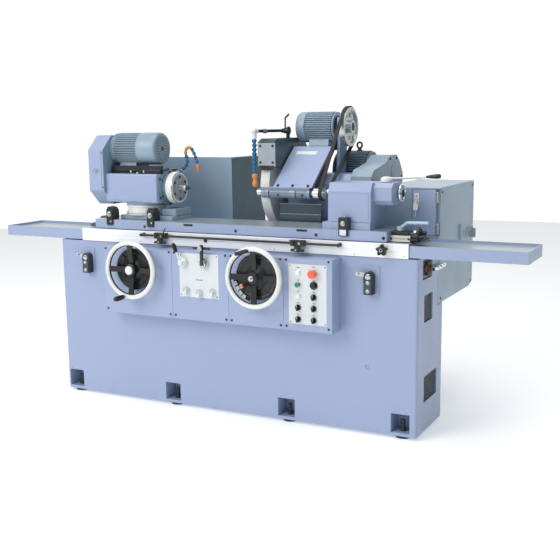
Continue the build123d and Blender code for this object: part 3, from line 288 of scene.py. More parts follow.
label_white = finish("blank_label", (0.74, 0.77, 0.79), 0.3, grain=900, relief=0.015, mottle=0.03)
lever_blue = finish("light_blue_lever", (0.42, 0.56, 0.66), 0.3, grain=400, relief=0.04, mottle=0.05,
    wear=(0.6, 0.66, 0.7), coat=0.2)

# carried-over castings whose finish changes from zone to zone
swivel_finish = finish(
    "swivel_table_finish", PAINT, 0.38, grain=260, stretch=(0.04, 1, 1), relief=0.05, mottle=0.03,
    round_edge=0.0015, coat=0.1,
    zones=((lambda t: compare(t, "MULTIPLY", facing_up(t), beyond(t, Z, 953)), GROUND, 0.3, 0.7),))
tail_finish = finish(
    "tailstock_finish", PAINT, 0.38, grain=420, relief=0.05, mottle=0.03, wear=PAINT_WORN,
    round_edge=0.003, coat=0.15,
    zones=((lambda t: beyond(t, Y, 33.5, -1), (0.018, 0.02, 0.022), 0.34, 0.0),))
arm_finish = finish(
    "arm_finish", PAINT, 0.36, grain=420, relief=0.05, mottle=0.03, wear=PAINT_WORN,
    round_edge=0.002, coat=0.15,
    zones=((lambda t: beyond(t, Z, 1121.5, -1), (0.19, 0.24, 0.31), 0.32, 0.0),
           (lambda t: beyond(t, X, 1361.5), (0.016, 0.019, 0.021), 0.36, 0.0),))
# wing trays: body paint, with their upward faces painted a darker grey-green as painted shade
wing_paint_and_top_shade = finish("tray_paint_and_top_shade", PAINT, 0.38, grain=420, relief=0.05, mottle=0.012, wear=PAINT_WORN,
    round_edge=0.002, coat=0.15, zones=((facing_up, (0.35, 0.42, 0.45), 0.35, 0.1),))
# belt guard: body paint, with its right-facing faces painted a darker teal as painted shade
guard_paint_and_side_shade = finish("belt_guard_paint_and_side_shade", PAINT, 0.38, grain=420, relief=0.05, mottle=0.012,
    wear=PAINT_WORN, round_edge=0.002, coat=0.15, zones=((facing_right, (0.22, 0.33, 0.43), 0.38, 0.0),))
bed_finish = finish(
    "bed_finish", PAINT, 0.38, grain=420, relief=0.05, mottle=0.012, patch=2.2, wear=PAINT_WORN,
    round_edge=0.003, coat=0.15,
    zones=((lambda t: compare(t, "MULTIPLY", facing_up(t), beyond(t, Z, 845)), GROUND, 0.28, 0.8),))


def dress(material, *nodes):
    """The finish of CAD nodes that stay."""
    for node in nodes:
        mesh = frame["nodes"][node].data
        mesh.materials.clear()
        mesh.materials.append(material)


# ================================================================ shapes
class Solid:
    """One piece: a mesh of boxes, prisms and turned shapes, placed in mm from the bed's corner."""

    def __init__(self):
        self.mesh = bmesh.new()

    def skin(self, loops, closed=False, caps=True):
        """Faces between rings of points, one after the other."""
        rings = [[self.mesh.verts.new(at(*point)) for point in loop] for loop in loops]
        pairs = list(zip(rings, rings[1:])) + ([(rings[-1], rings[0])] if closed else [])
        for low, high in pairs:
            count = max(len(low), len(high))
            for index in range(count):
                follow = (index + 1) % count
                corners = [low[index % len(low)], low[follow % len(low)], high[follow % len(high)],
                    high[index % len(high)]]
                kept = [c for n, c in enumerate(corners) if c not in corners[:n]]
                if len(kept) > 2:
                    self.mesh.faces.new(kept)
        if caps and not closed:
            for ring in (rings[0], rings[-1]):
                if len(ring) > 2:
                    self.mesh.faces.new(ring)
        return self

    def prism(self, outline, run):
        """An outline of places pushed along run."""
        far = [Vector(point) + Vector(run) for point in outline]
        return self.skin([outline, far])

    def plate(self, axis, start, depth, outline):
        """A flat outline at start on an axis, pushed depth along it."""
        run = [0, 0, 0]
        run[axis] = depth
        return self.prism([(*point[:axis], start, *point[axis:]) for point in outline], run)

    def box(self, x, y, z):
        """A box from three (low, high) pairs."""
        return self.plate(Z, z[0], z[1] - z[0], [(x[0], y[0]), (x[1], y[0]), (x[1], y[1]), (x[0], y[1])])

    def turned(self, start, axis, profile, steps=48, closed=False):
        """A shape turned about axis through start; the profile holds (distance along it, radius)."""
        along = Vector(axis).normalized()
        side = along.orthogonal().normalized()
        other = along.cross(side)
        loops = []
        for distance, radius in profile:
            centre = Vector(start) + along * distance
            if radius < 1e-6:
                loops.append([centre])
                continue
            turns = (2 * pi * step / steps for step in range(steps))
            loops.append([centre + side * radius * cos(turn) + other * radius * sin(turn)
                          for turn in turns])
        return self.skin(loops, closed)

    def rod(self, start, end, radius, steps=24):
        """A round bar between two places, with small chamfers."""
        run = Vector(end) - Vector(start)
        cut = min(1.2, radius * 0.2)
        return self.turned(start, run, [(0, radius - cut), (cut, radius), (run.length - cut, radius),
            (run.length, radius - cut)], steps)

    def ball(self, centre, radius, steps=24):
        """A ball."""
        rows = steps // 2
        profile = [(-radius * cos(pi * row / rows), radius * sin(pi * row / rows))
                   for row in range(rows + 1)]
        return self.turned(centre, (0, 0, 1), profile, steps)

    def ring(self, centre, axis, major, minor, steps=96, rows=16):
        """A ring of round section."""
        profile = [(minor * sin(2 * pi * row / rows), major + minor * cos(2 * pi * row / rows))
                   for row in range(rows)]
        return self.turned(centre, axis, profile, steps, closed=True)

    def toothed(self, start, axis, length, radius, depth, count):
        """A disc with square teeth round its rim."""
        along = Vector(axis).normalized()
        side = along.orthogonal().normalized()
        other = along.cross(side)
        outline = []
        for tooth in range(count):
            for share, reach in ((0.0, radius), (0.5, radius), (0.5, radius - depth), (1.0, radius - depth)):
                turn = 2 * pi * (tooth + share) / count
                outline.append(Vector(start) + side * reach * cos(turn) + other * reach * sin(turn))
        return self.prism(outline, along * length)

    def done(self, name, body, material, bevel=0.8, slot=None, replaces=(), sharp=35):
        """Closes the piece and lets it ride on its body."""
        bmesh.ops.recalc_face_normals(self.mesh, faces=self.mesh.faces)
        data = bpy.data.meshes.new(name)
        self.mesh.to_mesh(data)
        self.mesh.free()
        data.polygons.foreach_set("use_smooth", [True] * len(data.polygons))
        data.set_sharp_from_angle(angle=radians(sharp))
        piece = bpy.data.objects.new(name, data)
        scene.collection.objects.link(piece)
        data.materials.append(material)
        if bevel:
            rounding = piece.modifiers.new("edges", "BEVEL")
            rounding.width = bevel / 1000
            rounding.segments = 2
            rounding.limit_method = "ANGLE"
            rounding.angle_limit = radians(sharp)
            rounding.harden_normals = True
        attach(piece, body)
        if replaces:
            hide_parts(*replaces)
        return piece


def middle(node):
    """The middle of a CAD node's box, in mm from the bed's corner."""
    low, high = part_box(node)
    return tuple(((low[i] + high[i]) / 2 - at(0, 0, 0)[i]) * 1000 for i in range(3))


def extent(node):
    """The (low, high) pairs of a CAD node's box, in mm from the bed's corner."""
    low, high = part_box(node)
    return tuple(((low[i] - at(0, 0, 0)[i]) * 1000, (high[i] - at(0, 0, 0)[i]) * 1000) for i in range(3))


def around(centre, reach, angles):
    """Places round a centre, in the plane across X, at angles in degrees from +Y."""
    x, y, z = centre
    return [(x, y + reach * cos(radians(angle)), z + reach * sin(radians(angle)))
            for angle in angles]


def pivot(joint):
    """A joint's place, in mm from the bed's corner."""
    place = next(j for j in frame["joints"] if j["name"] == joint)["pos_m"]
    return tuple((place[i] - at(0, 0, 0)[i]) * 1000 for i in range(3))


# ================================================================ floor and light
def plain(name, color, rough):
    """The finish of the floor: pale, with the faintest cloudiness."""
    material = bpy.data.materials.new(name)
    material.use_nodes = True
    tree = material.node_tree
    surface = tree.nodes["Principled BSDF"]
    tone = mix(tree, noise(tree, 0.8, 2.0), shade(color, 0.99), shade(color, 1.01))
    join(tree, surface.inputs["Base Color"], tone)
    surface.inputs["Roughness"].default_value = rough
    surface.inputs["Specular IOR Level"].default_value = 0.1
    surface.inputs["Emission Color"].default_value = (1, 1, 1, 1)
    surface.inputs["Emission Strength"].default_value = 0.34
    return material


FLOOR_RADIUS = 9
floor_mesh = bmesh.new()
bmesh.ops.create_circle(floor_mesh, cap_ends=True, segments=96, radius=FLOOR_RADIUS)
floor_data = bpy.data.meshes.new("floor")
floor_mesh.to_mesh(floor_data)
floor_mesh.free()
floor = bpy.data.objects.new("floor", floor_data)
floor_data.materials.append(plain("pale_floor", (0.88, 0.885, 0.89), 0.9))
scene.collection.objects.link(floor)

world = bpy.data.worlds.new("studio")
scene.world = world
world.use_nodes = True
sky = world.node_tree
backdrop = sky.nodes["Background"]
direction = sky.nodes.new("ShaderNodeTexCoord")


def lobe(towards, low, high):
    """One for directions close to towards, fading to zero."""
    node = sky.nodes.new("ShaderNodeVectorMath")
    node.operation = "DOT_PRODUCT"
    sky.links.new(direction.outputs["Generated"], node.inputs[0])
    node.inputs[1].default_value = Vector(towards).normalized()
    ramp = sky.nodes.new("ShaderNodeMapRange")
    ramp.interpolation_type = "SMOOTHSTEP"
    sky.links.new(node.outputs["Value"], ramp.inputs[0])
    ramp.inputs[1].default_value = low
    ramp.inputs[2].default_value = high
    return ramp.outputs[0]


side_tint = mix(sky, lobe((1, 0.15, 0), 0.1, 0.9), (0.36, 0.37, 0.385, 1), (0.10, 0.17, 0.165, 1))
front_tint = mix(sky, lobe((-0.25, -1, 0.25), 0.1, 0.95), side_tint, (0.53, 0.54, 0.55, 1))
back_tint = mix(sky, lobe((-0.45, 0.89, -0.05), 0.5, 0.72), front_tint, (1.08, 1.08, 1.08, 1))
sky.links.new(back_tint, backdrop.inputs["Color"])
backdrop.inputs["Strength"].default_value = 1.0


def softbox(name, place, aim, size, power):
    """A square area light aimed at a place, in metres."""
    data = bpy.data.lights.new(name, "AREA")
    data.shape = "SQUARE"
    data.size = size
    data.energy = power
    light = bpy.data.objects.new(name, data)
    light.location = place
    light.rotation_mode = "QUATERNION"
    light.rotation_quaternion = (Vector(aim) - Vector(place)).to_track_quat("-Z", "Y")
    scene.collection.objects.link(light)


softbox("key", (-2.6, -5.2, 4.2), (0, 0, 0.8), 3.6, 178)
softbox("top", (0.4, -0.6, 5.2), (0, 0, 0.8), 4.0, 125)

scene.view_settings.view_transform = "Standard"

# ================================================================ castings that stay
dress(bed_finish, "bed_casting")
dress(enamel, "rear_bed_casting", "lower_table", "workhead_body", "wheelhead_housing", "wheelhead_slide",
    "cabinet_door")
# the belt guard's right-facing faces carry painted shade
dress(guard_paint_and_side_shade, "workhead_belt_guard")
# belt cover: body paint drawn in grey teal, the painted shade of its right-facing side
dress(teal_paint_and_side_shade, "belt_cover")
# the wing tops carry painted shade
dress(wing_paint_and_top_shade, "table_wings")
# cabinet in darker enamel: painted shade
dress(enamel_recess_shade, "electrical_cabinet")
dress(enamel_panel, "control_panel_box")
dress(swivel_finish, "swivel_table")
dress(tail_finish, "tailstock_body")
dress(arm_finish, "internal_arm")
# wheel guard in dark teal: its shaded right side painted near black, painted shade
dress(dark_teal_and_shade, "wheel_guard")
dress(blackened, "levelling_feet", "trip_dog_left", "trip_dog_right", "reversing_lever")
dress(turned_steel, "work_spindle", "tailstock_quill", "wheel_spindle", "internal_spindle",
    "workhead_motor_pulley", "main_motor_pulley")
dress(aluminium, "internal_pulley")
dress(wheel_grit, "grinding_wheel")
dress(rubber, "internal_belt")
dress(chrome, "cabinet_key")
dress(cast_silver, "isolator_knob")
dress(black_plastic, "black_button", "coolant_valve_lever")
dress(green_plastic, "green_button")
dress(red_plastic, "emergency_stop")
dress(lever_blue, "swivel_lock_lever")

LEFT, RIGHT = extent("control_panel_box")[X]
PANEL_Y = extent("control_panel_box")[Y][0]
BED_RIGHT = extent("bed_casting")[X][1]
WORK_Y, WORK_Z = 150, 1117
BAR_Y, BAR_Z = 262, 1096
TURNTABLE = (460, 150)

# ================================================================ bed
# woven screens behind the windows in the bed's right end
WIRE_GAPS = 14
for number, (y, z) in enumerate((((91, 215), (535, 661)), ((103, 296), (154, 278))), start=1):
    # black sheet behind each screen: painted shade of the bed's dark inside
    Solid().box((BED_RIGHT - 11.8, BED_RIGHT - 9), y, z).done(
        f"vent_shade_sheet_{number}", "bed", black_paint, bevel=0)
    mesh_wires = Solid()
    for step in range(1, WIRE_GAPS):
        wire_y = y[0] + (y[1] - y[0]) * step / WIRE_GAPS
        mesh_wires.box((BED_RIGHT - 8.5, BED_RIGHT - 6.5), (wire_y - 1.2, wire_y + 1.2), z)
        wire_z = z[0] + (z[1] - z[0]) * step / WIRE_GAPS
        mesh_wires.box((BED_RIGHT - 7.5, BED_RIGHT - 5.5), y, (wire_z - 1.2, wire_z + 1.2))
    mesh_wires.done(f"vent_screen_{number}", "bed", dark_teal_and_shade, bevel=0.3)

# valve seen in the upper window, and its fitting with a bright end
# black box in the window behind the valve: painted shade of the bed's inside
Solid().box((BED_RIGHT - 11.9, BED_RIGHT - 1), (74, 190), (742, 820)).done(
    "limit_valve_shade_box", "bed", black_paint, bevel=0.5)
valve = Solid()
valve.box((BED_RIGHT - 4, BED_RIGHT + 10), (110, 172), (752, 814))
valve.box((BED_RIGHT - 4, BED_RIGHT + 6), (84, 112), (770, 800))
valve.turned((BED_RIGHT + 10, 140, 783), RIGHT_WAY, [(0, 20), (3, 20), (3, 14), (8, 14)], 32)
valve.done("limit_valve", "bed", rust_brown, bevel=2)
fitting = Solid()
fitting.turned((BED_RIGHT + 16, 150, 771), (0, 1, 0), [(22, 9), (70, 9), (72, 13), (92, 13), (94, 9),
    (110, 9)], 6)
fitting.turned((BED_RIGHT + 16, 262, 771), (0, 1, 0), [(-4, 9), (0, 11), (18, 11), (22, 7), (52, 7),
    (54, 10), (74, 10)], 32)
fitting.done("hydraulic_fitting", "bed", chrome, bevel=0.5)

Solid().turned((1760, 3, 325), FRONT, [(0, 9.6), (1.5, 9.6), (2.4, 8), (2.4, 3)], 32).done(
    "core_hole_plug", "bed", enamel, bevel=0.3)

# screws between the bed and its foot
foot_screws = Solid()
for x in (60, 688, 1342, 1922):
    for side in (-30, 30):
        foot_screws.turned((x + side, 0.2, 128), FRONT, [(0, 2.2), (0.6, 1.8)], 12)
foot_screws.done("pocket_pins", "bed", blackened, bevel=0)

# ================================================================ control panel
COVERS = ((LEFT, 767), (767, 1087), (1087, 1381), (1381, RIGHT))
covers = Solid()
for low, high in COVERS:
    covers.box((low + 1.2, high - 1.2), (PANEL_Y - 1.5, PANEL_Y + 0.1), (488.5, 826.5))
covers.done("panel_covers", "bed", enamel_panel, bevel=0.9)

FITTINGS_Y = PANEL_Y - 3
plates = Solid()
plates.box((812, 1034), (FITTINGS_Y - 0.2, PANEL_Y), (604, 820))
plates.box((1409, 1601), (FITTINGS_Y - 0.2, PANEL_Y), (521, 802))
plates.done("control_plates", "bed", plate_white, bevel=1.0, replaces=["front_fittings"])

rims = Solid()
for x, z in ((1458, 762), (1458, 653), (1458, 707), (1537, 707)):
    rims.turned((x, FITTINGS_Y, z), FRONT, [(0, 15.5), (3, 15), (5, 13.4), (5, 12.4), (0.5, 12.4)], 40)
rims.done("button_rims", "bed", chrome, bevel=0.2)
Solid().turned((1537, FITTINGS_Y, 762), FRONT, [(0, 23), (2, 23), (3, 21), (3, 9)], 48).done(
    "stop_collar", "bed", label_white, bevel=0.3)
collar = Solid()
collar.turned((1537, FITTINGS_Y, 707), FRONT, [(0, 19), (4, 18.6), (6, 17), (6, 13), (1, 12.6)], 40)
collar.done("black_button_collar", "bed", black_plastic, bevel=0.3)
lamps = Solid()
for z in (762, 653):
    lamps.turned((1458, FITTINGS_Y, z), FRONT, [(0, 12.2), (5, 12.2), (8, 11), (10, 8), (11, 4),
        (11.3, 0)], 40)
lamps.done("signal_lamps", "bed", lens_white, bevel=0)

screws = Solid()
for x in (368, 752, 782, 1072, 1102, 1366, 1396, 1610):
    for z in (507, 819):
        screws.turned((x, PANEL_Y - 1.4, z), FRONT, [(0, 6), (1.6, 5.6), (2.4, 4), (1.2, 2.2),
            (1.2, 0)], 24)
for x in (822, 1024):
    for z in (614, 810):
        screws.turned((x, FITTINGS_Y, z), FRONT, [(0, 3.4), (1.4, 2.6), (0.8, 1.2), (0.8, 0)], 20)
for x in (1417, 1593):
    for z in (529, 794):
        screws.turned((x, FITTINGS_Y, z), FRONT, [(0, 3.2), (1.4, 2.4), (0.8, 1.1), (0.8, 0)], 20)
screws.done("panel_screws", "bed", blackened, bevel=0.1)

# short arcs that grade the throttle knobs, and blank tags over the buttons
grading = Solid()
for x, z in ((851, 631), (925, 622), (999, 632)):
    for step in range(9):
        turn = radians(25 + step * 16.25)
        inner, outer = (19, 23.5) if step % 2 == 0 else (20, 22.5)
        side = Vector((-sin(turn), 0, cos(turn))) * 0.7
        start = Vector((x + inner * cos(turn), FITTINGS_Y - 0.55, z + inner * sin(turn)))
        end = Vector((x + outer * cos(turn), FITTINGS_Y - 0.55, z + outer * sin(turn)))
        grading.prism([start - side, start + side, end + side, end - side], (0, 0.45, 0))
for x, z in ((1458, 786), (1537, 792), (1458, 728), (1537, 729), (1458, 676), (1537, 676), (1458, 623),
             (1537, 623), (1458, 568), (1537, 568)):
    grading.box((x - 6, x + 6), (FITTINGS_Y - 0.5, FITTINGS_Y - 0.1), (z - 1.2, z + 1.2))
grading.box((905, 945), (FITTINGS_Y - 0.5, FITTINGS_Y - 0.1), (690, 693))
grading.done("plate_marks", "bed", black_paint, bevel=0, slot="black_plastic")

# switch at each end of the bed's front
for number, (x, low, high) in enumerate(((188, 156, 221), (1777, 1728, 1820)), start=1):
    Solid().box((low, high), (-4, -0.1), (669, 800)).done(
        f"switch_plate_{number}", "bed", enamel_panel, bevel=1.5)
    body = Solid()
    outline = [(x - 22, -4, 671), (x + 22, -4, 671)]
    outline += [(x + 22 * cos(turn), -4, 754 + 22 * sin(turn))
                for turn in (pi * step / 14 for step in range(15))]
    body.prism(outline, (0, -36, 0))
    body.done(f"switch_body_{number}", "bed", black_paint, bevel=2.5)
    Solid().box((x - 16, x + 16), (-43, -40), (677, 738)).done(
        f"switch_lid_{number}", "bed", dark_teal_and_shade, bevel=1.2)
    bolts = Solid()
    for z in (688, 727):
        bolts.turned((x, -43, z), FRONT, [(0, 9), (2, 9), (2.6, 8), (1.4, 3.5), (1.4, 0)], 24)
    bolts.turned((x, -40, 754), FRONT, [(0, 14), (2, 14), (4, 12), (5, 5), (5, 0)], 32)
    bolts.done(f"switch_bolts_{number}", "bed", steel, bevel=0.2)
    arm = Solid()
    arm.plate(Y, -38, 8, [(x + 6, 744), (x + 6, 766), (x - 50, 775), (x - 56, 757)])
    arm.rod((x - 52, -45, 765), (x - 52, -27, 765), 9.5, 32)
    arm.done(f"switch_arm_{number}", "bed", steel, bevel=1.0)

# selectors: a grooved cap under each pointer knob
for number in range(1, 6):
    node = f"selector_{number}"
    x, _, z = middle(node)
    knob = Solid()
    knob.toothed((x, FITTINGS_Y - 0.4, z), FRONT, 7.6, 14, 0.8, 28)
    knob.plate(Y, FITTINGS_Y - 7, -12.8, [(x - 4.5, z - 13.4), (x + 4.5, z - 13.4), (x + 3.2, z + 13.6),
        (x - 3.2, z + 13.6)])
    knob.done(f"selector_cap_{number}", node, black_plastic, bevel=0.5, replaces=[node])
    Solid().box((x - 0.8, x + 0.8), (FITTINGS_Y - 20, FITTINGS_Y - 19.6), (z + 2, z + 12.5)).done(
        f"selector_line_{number}", node, label_white, bevel=0)

# throttle knobs: pale fluted caps with a dark pointer
for number in range(1, 4):
    node = f"throttle_knob_{number}"
    x, _, z = middle(node)
    knob = Solid()
    knob.turned((x, FITTINGS_Y, z), FRONT, [(0, 8), (8, 8), (8, 17), (10, 17.6), (12, 16.5)], 48)
    knob.toothed((x, FITTINGS_Y - 9, z), FRONT, 15, 15.2, 1.4, 16)
    knob.turned((x, FITTINGS_Y - 24, z), FRONT, [(0, 14), (1.4, 12.5), (1.4, 4), (2, 0)], 40)
    knob.done(f"throttle_cap_{number}", node, plate_white, bevel=0.5, replaces=[node])
    Solid().box((x - 1, x + 1), (FITTINGS_Y - 26, FITTINGS_Y - 25.3), (z + 3, z + 13)).done(
        f"throttle_line_{number}", node, black_paint, bevel=0, slot="black_plastic")

# start lever's white boss, reversing lever's bright parts
x, _, z = pivot("table_start_turn")
boss = Solid()
boss.turned((x, FITTINGS_Y - 0.8, z), FRONT, [(0, 24), (14, 24), (20, 21), (24, 14), (34, 11), (35.5, 8),
    (35.5, 0)], 48)
boss.rod((x, FITTINGS_Y - 29, z), (x - 26, FITTINGS_Y - 29, z + 61), 4.6)
boss.done("start_boss", "table_start_lever", plate_white, bevel=0.6, replaces=["table_start_lever"])
grip = Solid()
grip.turned((x - 22, FITTINGS_Y - 29, z + 52), (-19, 0, 45), [(0, 6), (3, 9), (14, 10.2), (38, 10.4),
    (46, 8), (49, 0)], 32)
grip.done("start_grip", "table_start_lever", black_plastic, bevel=0)
x, _, z = pivot("reversing_turn")
boss = Solid()
boss.turned((x, FITTINGS_Y - 1.2, z), FRONT, [(0, 24.5), (10, 24.5), (12, 20), (22, 19), (25, 15), (25, 5),
    (23, 4), (23, 0)], 48)
boss.turned((x, FITTINGS_Y - 46, z + 76), FRONT, [(-2, 12.4), (0, 12.4), (2, 10), (2, 4), (0, 3),
    (0, 0)], 32)
boss.done("reversing_boss", "reversing_lever", steel, bevel=0.4)


# ================================================================ handwheels
RIM, RIM_Y = 137, -150


def rim_point(centre, degrees, reach=RIM):
    """A place round a handwheel, in its own plane."""
    turn = radians(degrees)
    return centre[0] + reach * cos(turn), centre[1] + reach * sin(turn)


def wheel_rim(body, centre, y):
    """The polished white rim, its black inner band, which is painted shade just inside the rim, and its four
    black arms.
    """
    x, z = centre
    Solid().ring((x, y, z), (0, 1, 0), RIM - 1, 11.8).done(
        body + "_rim", body, off_white, bevel=0, replaces=[body])
    arms = Solid()
    # black band just inside the rim: painted shade under the rim's inner edge
    arms.turned((x, y + 5, z), FRONT, [(0, 120.5), (0, 127), (9, 127), (9, 120.5)], 96, closed=True)
    for degrees in (0, 90, 180, 270):
        turn = radians(degrees)
        out, across = Vector((cos(turn), 0, sin(turn))), Vector((-sin(turn), 0, cos(turn)))
        start = Vector((x, y + 12, z)) + out * 28
        end = Vector((x, y - 5, z)) + out * 127
        thick = Vector((0, 12, 0))
        arms.skin([[place - across * wide, place + across * wide,
                    place + across * wide + thick, place - across * wide + thick]
                   for place, wide in ((start, 13), (end, 15))])
    arms.done(body + "_arms", body, black_plastic, bevel=2.5, sharp=50)


def sector(body, name, centre, y, degrees, radii, material, slot):
    """A flat arc between two angles and two radii."""
    arc = Solid()
    steps = max(2, round((degrees[1] - degrees[0]) / 5))
    turns = [radians(degrees[0] + (degrees[1] - degrees[0]) * step / steps) for step in range(steps + 1)]
    outline = [(centre[0] + radii[1] * cos(turn), y, centre[1] + radii[1] * sin(turn)) for turn in turns]
    outline += [(centre[0] + radii[0] * cos(turn), y, centre[1] + radii[0] * sin(turn))
                for turn in reversed(turns)]
    arc.prism(outline, (0, 2.4, 0))
    return arc.done(name, body, material, bevel=0, slot=slot)


DISC_Y = -120

x, _, z = pivot("table_handwheel_turn")
centre = (x, z)
y = RIM_Y
wheel_rim("table_handwheel", centre, y)
disc = Solid()
disc.turned((x, PANEL_Y - 4.5, z), FRONT, [(0, 103), (2, 105), (19, 105), (22, 102), (22, 92), (18, 88),
    (16, 76), (19, 73), (19, 66), (15, 62), (15, 52), (20, 48), (26, 40), (28, 34), (28, 0)], 96)
disc.done("table_handwheel_disc", "table_handwheel", black_plastic, bevel=0.8)
bright = Solid()
bright.ring((x, DISC_Y + 2.6, z), (0, 1, 0), 82, 1.3, 96, 8)
bright.ring((x, DISC_Y + 3.2, z), (0, 1, 0), 57, 1.1, 96, 8)
px, pz = rim_point(centre, 138, 82)
bright.turned((px, DISC_Y + 4, pz), FRONT, [(0, 10), (9, 10), (11, 8), (11, 4), (7, 4), (7, 0)], 28)
px, pz = rim_point(centre, 265, 96)
bright.turned((px, DISC_Y + 2, pz), FRONT, [(0, 9), (10, 9), (12, 7), (12, 0)], 28)
bright.done("table_handwheel_rings", "table_handwheel", blackened, bevel=0.3)
Solid().turned((x, y + 22, z), FRONT, [(0, 34), (18, 34), (27, 31), (30, 25)], 56).done(
    "table_handwheel_hub", "table_handwheel", black_plastic, bevel=0.8)
Solid().turned((x, y - 7, z), FRONT, [(0, 21.5), (6, 21.5), (9, 19), (10.5, 13), (10.8, 0)], 48).done(
    "table_handwheel_cap", "table_handwheel", off_white, bevel=0.6)
px, pz = rim_point(centre, 258)
grip = Solid()
grip.rod((px, y + 4, pz), (px, y - 30, pz), 7)
grip.turned((px, y - 20, pz), FRONT, [(0, 10), (2, 12), (5, 12), (7, 10)], 36)
grip.done("table_handwheel_pin", "table_handwheel", chrome, bevel=0.3)
grip = Solid()
grip.turned((px, y - 24, pz), FRONT, [(0, 9), (3, 11.5), (16, 12.6), (42, 13), (62, 12.4), (71, 9.5),
    (75, 5), (76, 0)], 40)
grip.done("table_handwheel_grip", "table_handwheel", black_plastic, bevel=0)

x, _, z = pivot("infeed_handwheel_turn")
centre = (x, z)
y = RIM_Y
wheel_rim("infeed_handwheel", centre, y)
disc = Solid()
disc.toothed((x, PANEL_Y - 5, z), FRONT, 14, 110, 1.6, 90)
disc.turned((x, PANEL_Y - 19, z), FRONT, [(0, 108), (5, 106), (6, 92), (4, 90), (4, 60), (6, 58), (20, 40),
    (34, 30), (36, 24), (36, 0)], 96)
disc.done("infeed_handwheel_disc", "infeed_handwheel", black_paint, bevel=0.4, slot="black_plastic")
marks = Solid()
for index in range(100):
    turn = 2 * pi * index / 100
    reach = 103 if index % 5 == 0 else 99
    out = Vector((cos(turn), 0, sin(turn)))
    across = Vector((-out.z, 0, out.x)) * 0.4
    start, end = (Vector((x, PANEL_Y - 24.2, z)) + out * distance for distance in (94, reach))
    marks.prism([start - across, start + across, end + across, end - across], (0, -0.7, 0))
marks.done("infeed_graduations", "infeed_handwheel", cast_silver, bevel=0)
Solid().turned((x, y + 8, z), FRONT, [(0, 30), (14, 30), (20, 26), (22, 18)], 56).done(
    "infeed_handwheel_hub", "infeed_handwheel", black_plastic, bevel=0.8)
hub = Solid()
hub.turned((x, y - 12, z), FRONT, [(0, 14), (12, 14), (15, 12), (15, 7), (24, 7), (26, 5), (26, 0)], 40)
hub.done("infeed_handwheel_cap", "infeed_handwheel", steel, bevel=0.5)
px, pz = rim_point(centre, 126)
Solid().turned((px, y + 2, pz), FRONT, [(0, 9), (16, 9), (20, 8), (22.5, 5), (23, 0)], 32).done(
    "infeed_handwheel_pin", "infeed_handwheel", chrome, bevel=0.4)
grip = Solid()
grip.turned((px - 5, y - 16, pz - 2), (71, 0, 22), [(0, 0), (1, 6), (5, 8.8), (18, 9.6), (52, 9.6),
    (64, 8.8), (71, 6), (74, 0)], 36)
grip.done("infeed_handwheel_grip", "infeed_handwheel", black_plastic, bevel=0)
px, pz = rim_point(centre, 213, 84)
knob = Solid()
knob.turned((px, DISC_Y + 4, pz), FRONT, [(0, 10), (14, 10), (16, 12.5), (25, 12.5), (28, 10), (30, 6),
    (30.5, 0)], 32)
knob.done("infeed_zero_knob", "infeed_handwheel", copper, bevel=0.4)
for number, span in enumerate(((193, 203), (206, 216), (219, 229), (232, 241), (256, 266)), start=1):
    sector("infeed_handwheel", f"infeed_vernier_{number}", centre, -128, span,
        (105, 121), plate_white, "plate_white")
sector("infeed_handwheel", "infeed_vernier_ring", centre, -124, (190, 268),
    (103, 122), black_paint, "black_plastic")

# ================================================================ table
(x0, x1), _, (z0, z1) = extent("table_apron")
apron = Solid()
apron.plate(X, x0, x1 - x0, [(-7.8, z0), (-7.8, 866), (-6.2, 868), (-6.2, 872), (-7.8, 874),
    (-7.8, z1 - 1.5), (-6, z1), (0, z1), (0, z0)])
apron.done("apron_plate", "table", brushed_white, bevel=0.8, replaces=["table_apron"])
Solid().rod((535, -30, 888), (1641, -30, 888), 5.9, 28).done(
    "dog_rail", "table", blackened, bevel=0, slot="ground_steel")
posts = Solid()
for x in (547, 1629):
    posts.turned((x, -7.8, 888), FRONT, [(0, 10), (2, 10), (3, 7), (14, 6.6), (16, 8.6), (26, 9), (29, 7),
        (30, 0)], 32)
posts.done("rail_posts", "table", blackened, bevel=0.3)
pointer = Solid()
pointer.plate(Y, -8, -5.6, [(903, 884), (921, 884), (921, 874), (916, 864), (908, 864), (903, 874)])
pointer.done("apron_pointer", "table", black_paint, bevel=0.6)
rivets = Solid()
for x in (170, 520, 1290, 1700, 1935):
    rivets.turned((x, -7.7, 850), FRONT, [(0, 3.4), (0.8, 3), (1.2, 1.6), (0.4, 1.5), (0.4, 0)], 16)
rivets.done("apron_screws", "table", steel, bevel=0)
for side, (low, high) in enumerate(((148, 152), (1953, 1957))):
    Solid().box((low + 1.4, high - 1.4), (-1, 281.2), (846, 904)).done(
        f"table_joint_{side + 1}", "table", black_paint, bevel=0)

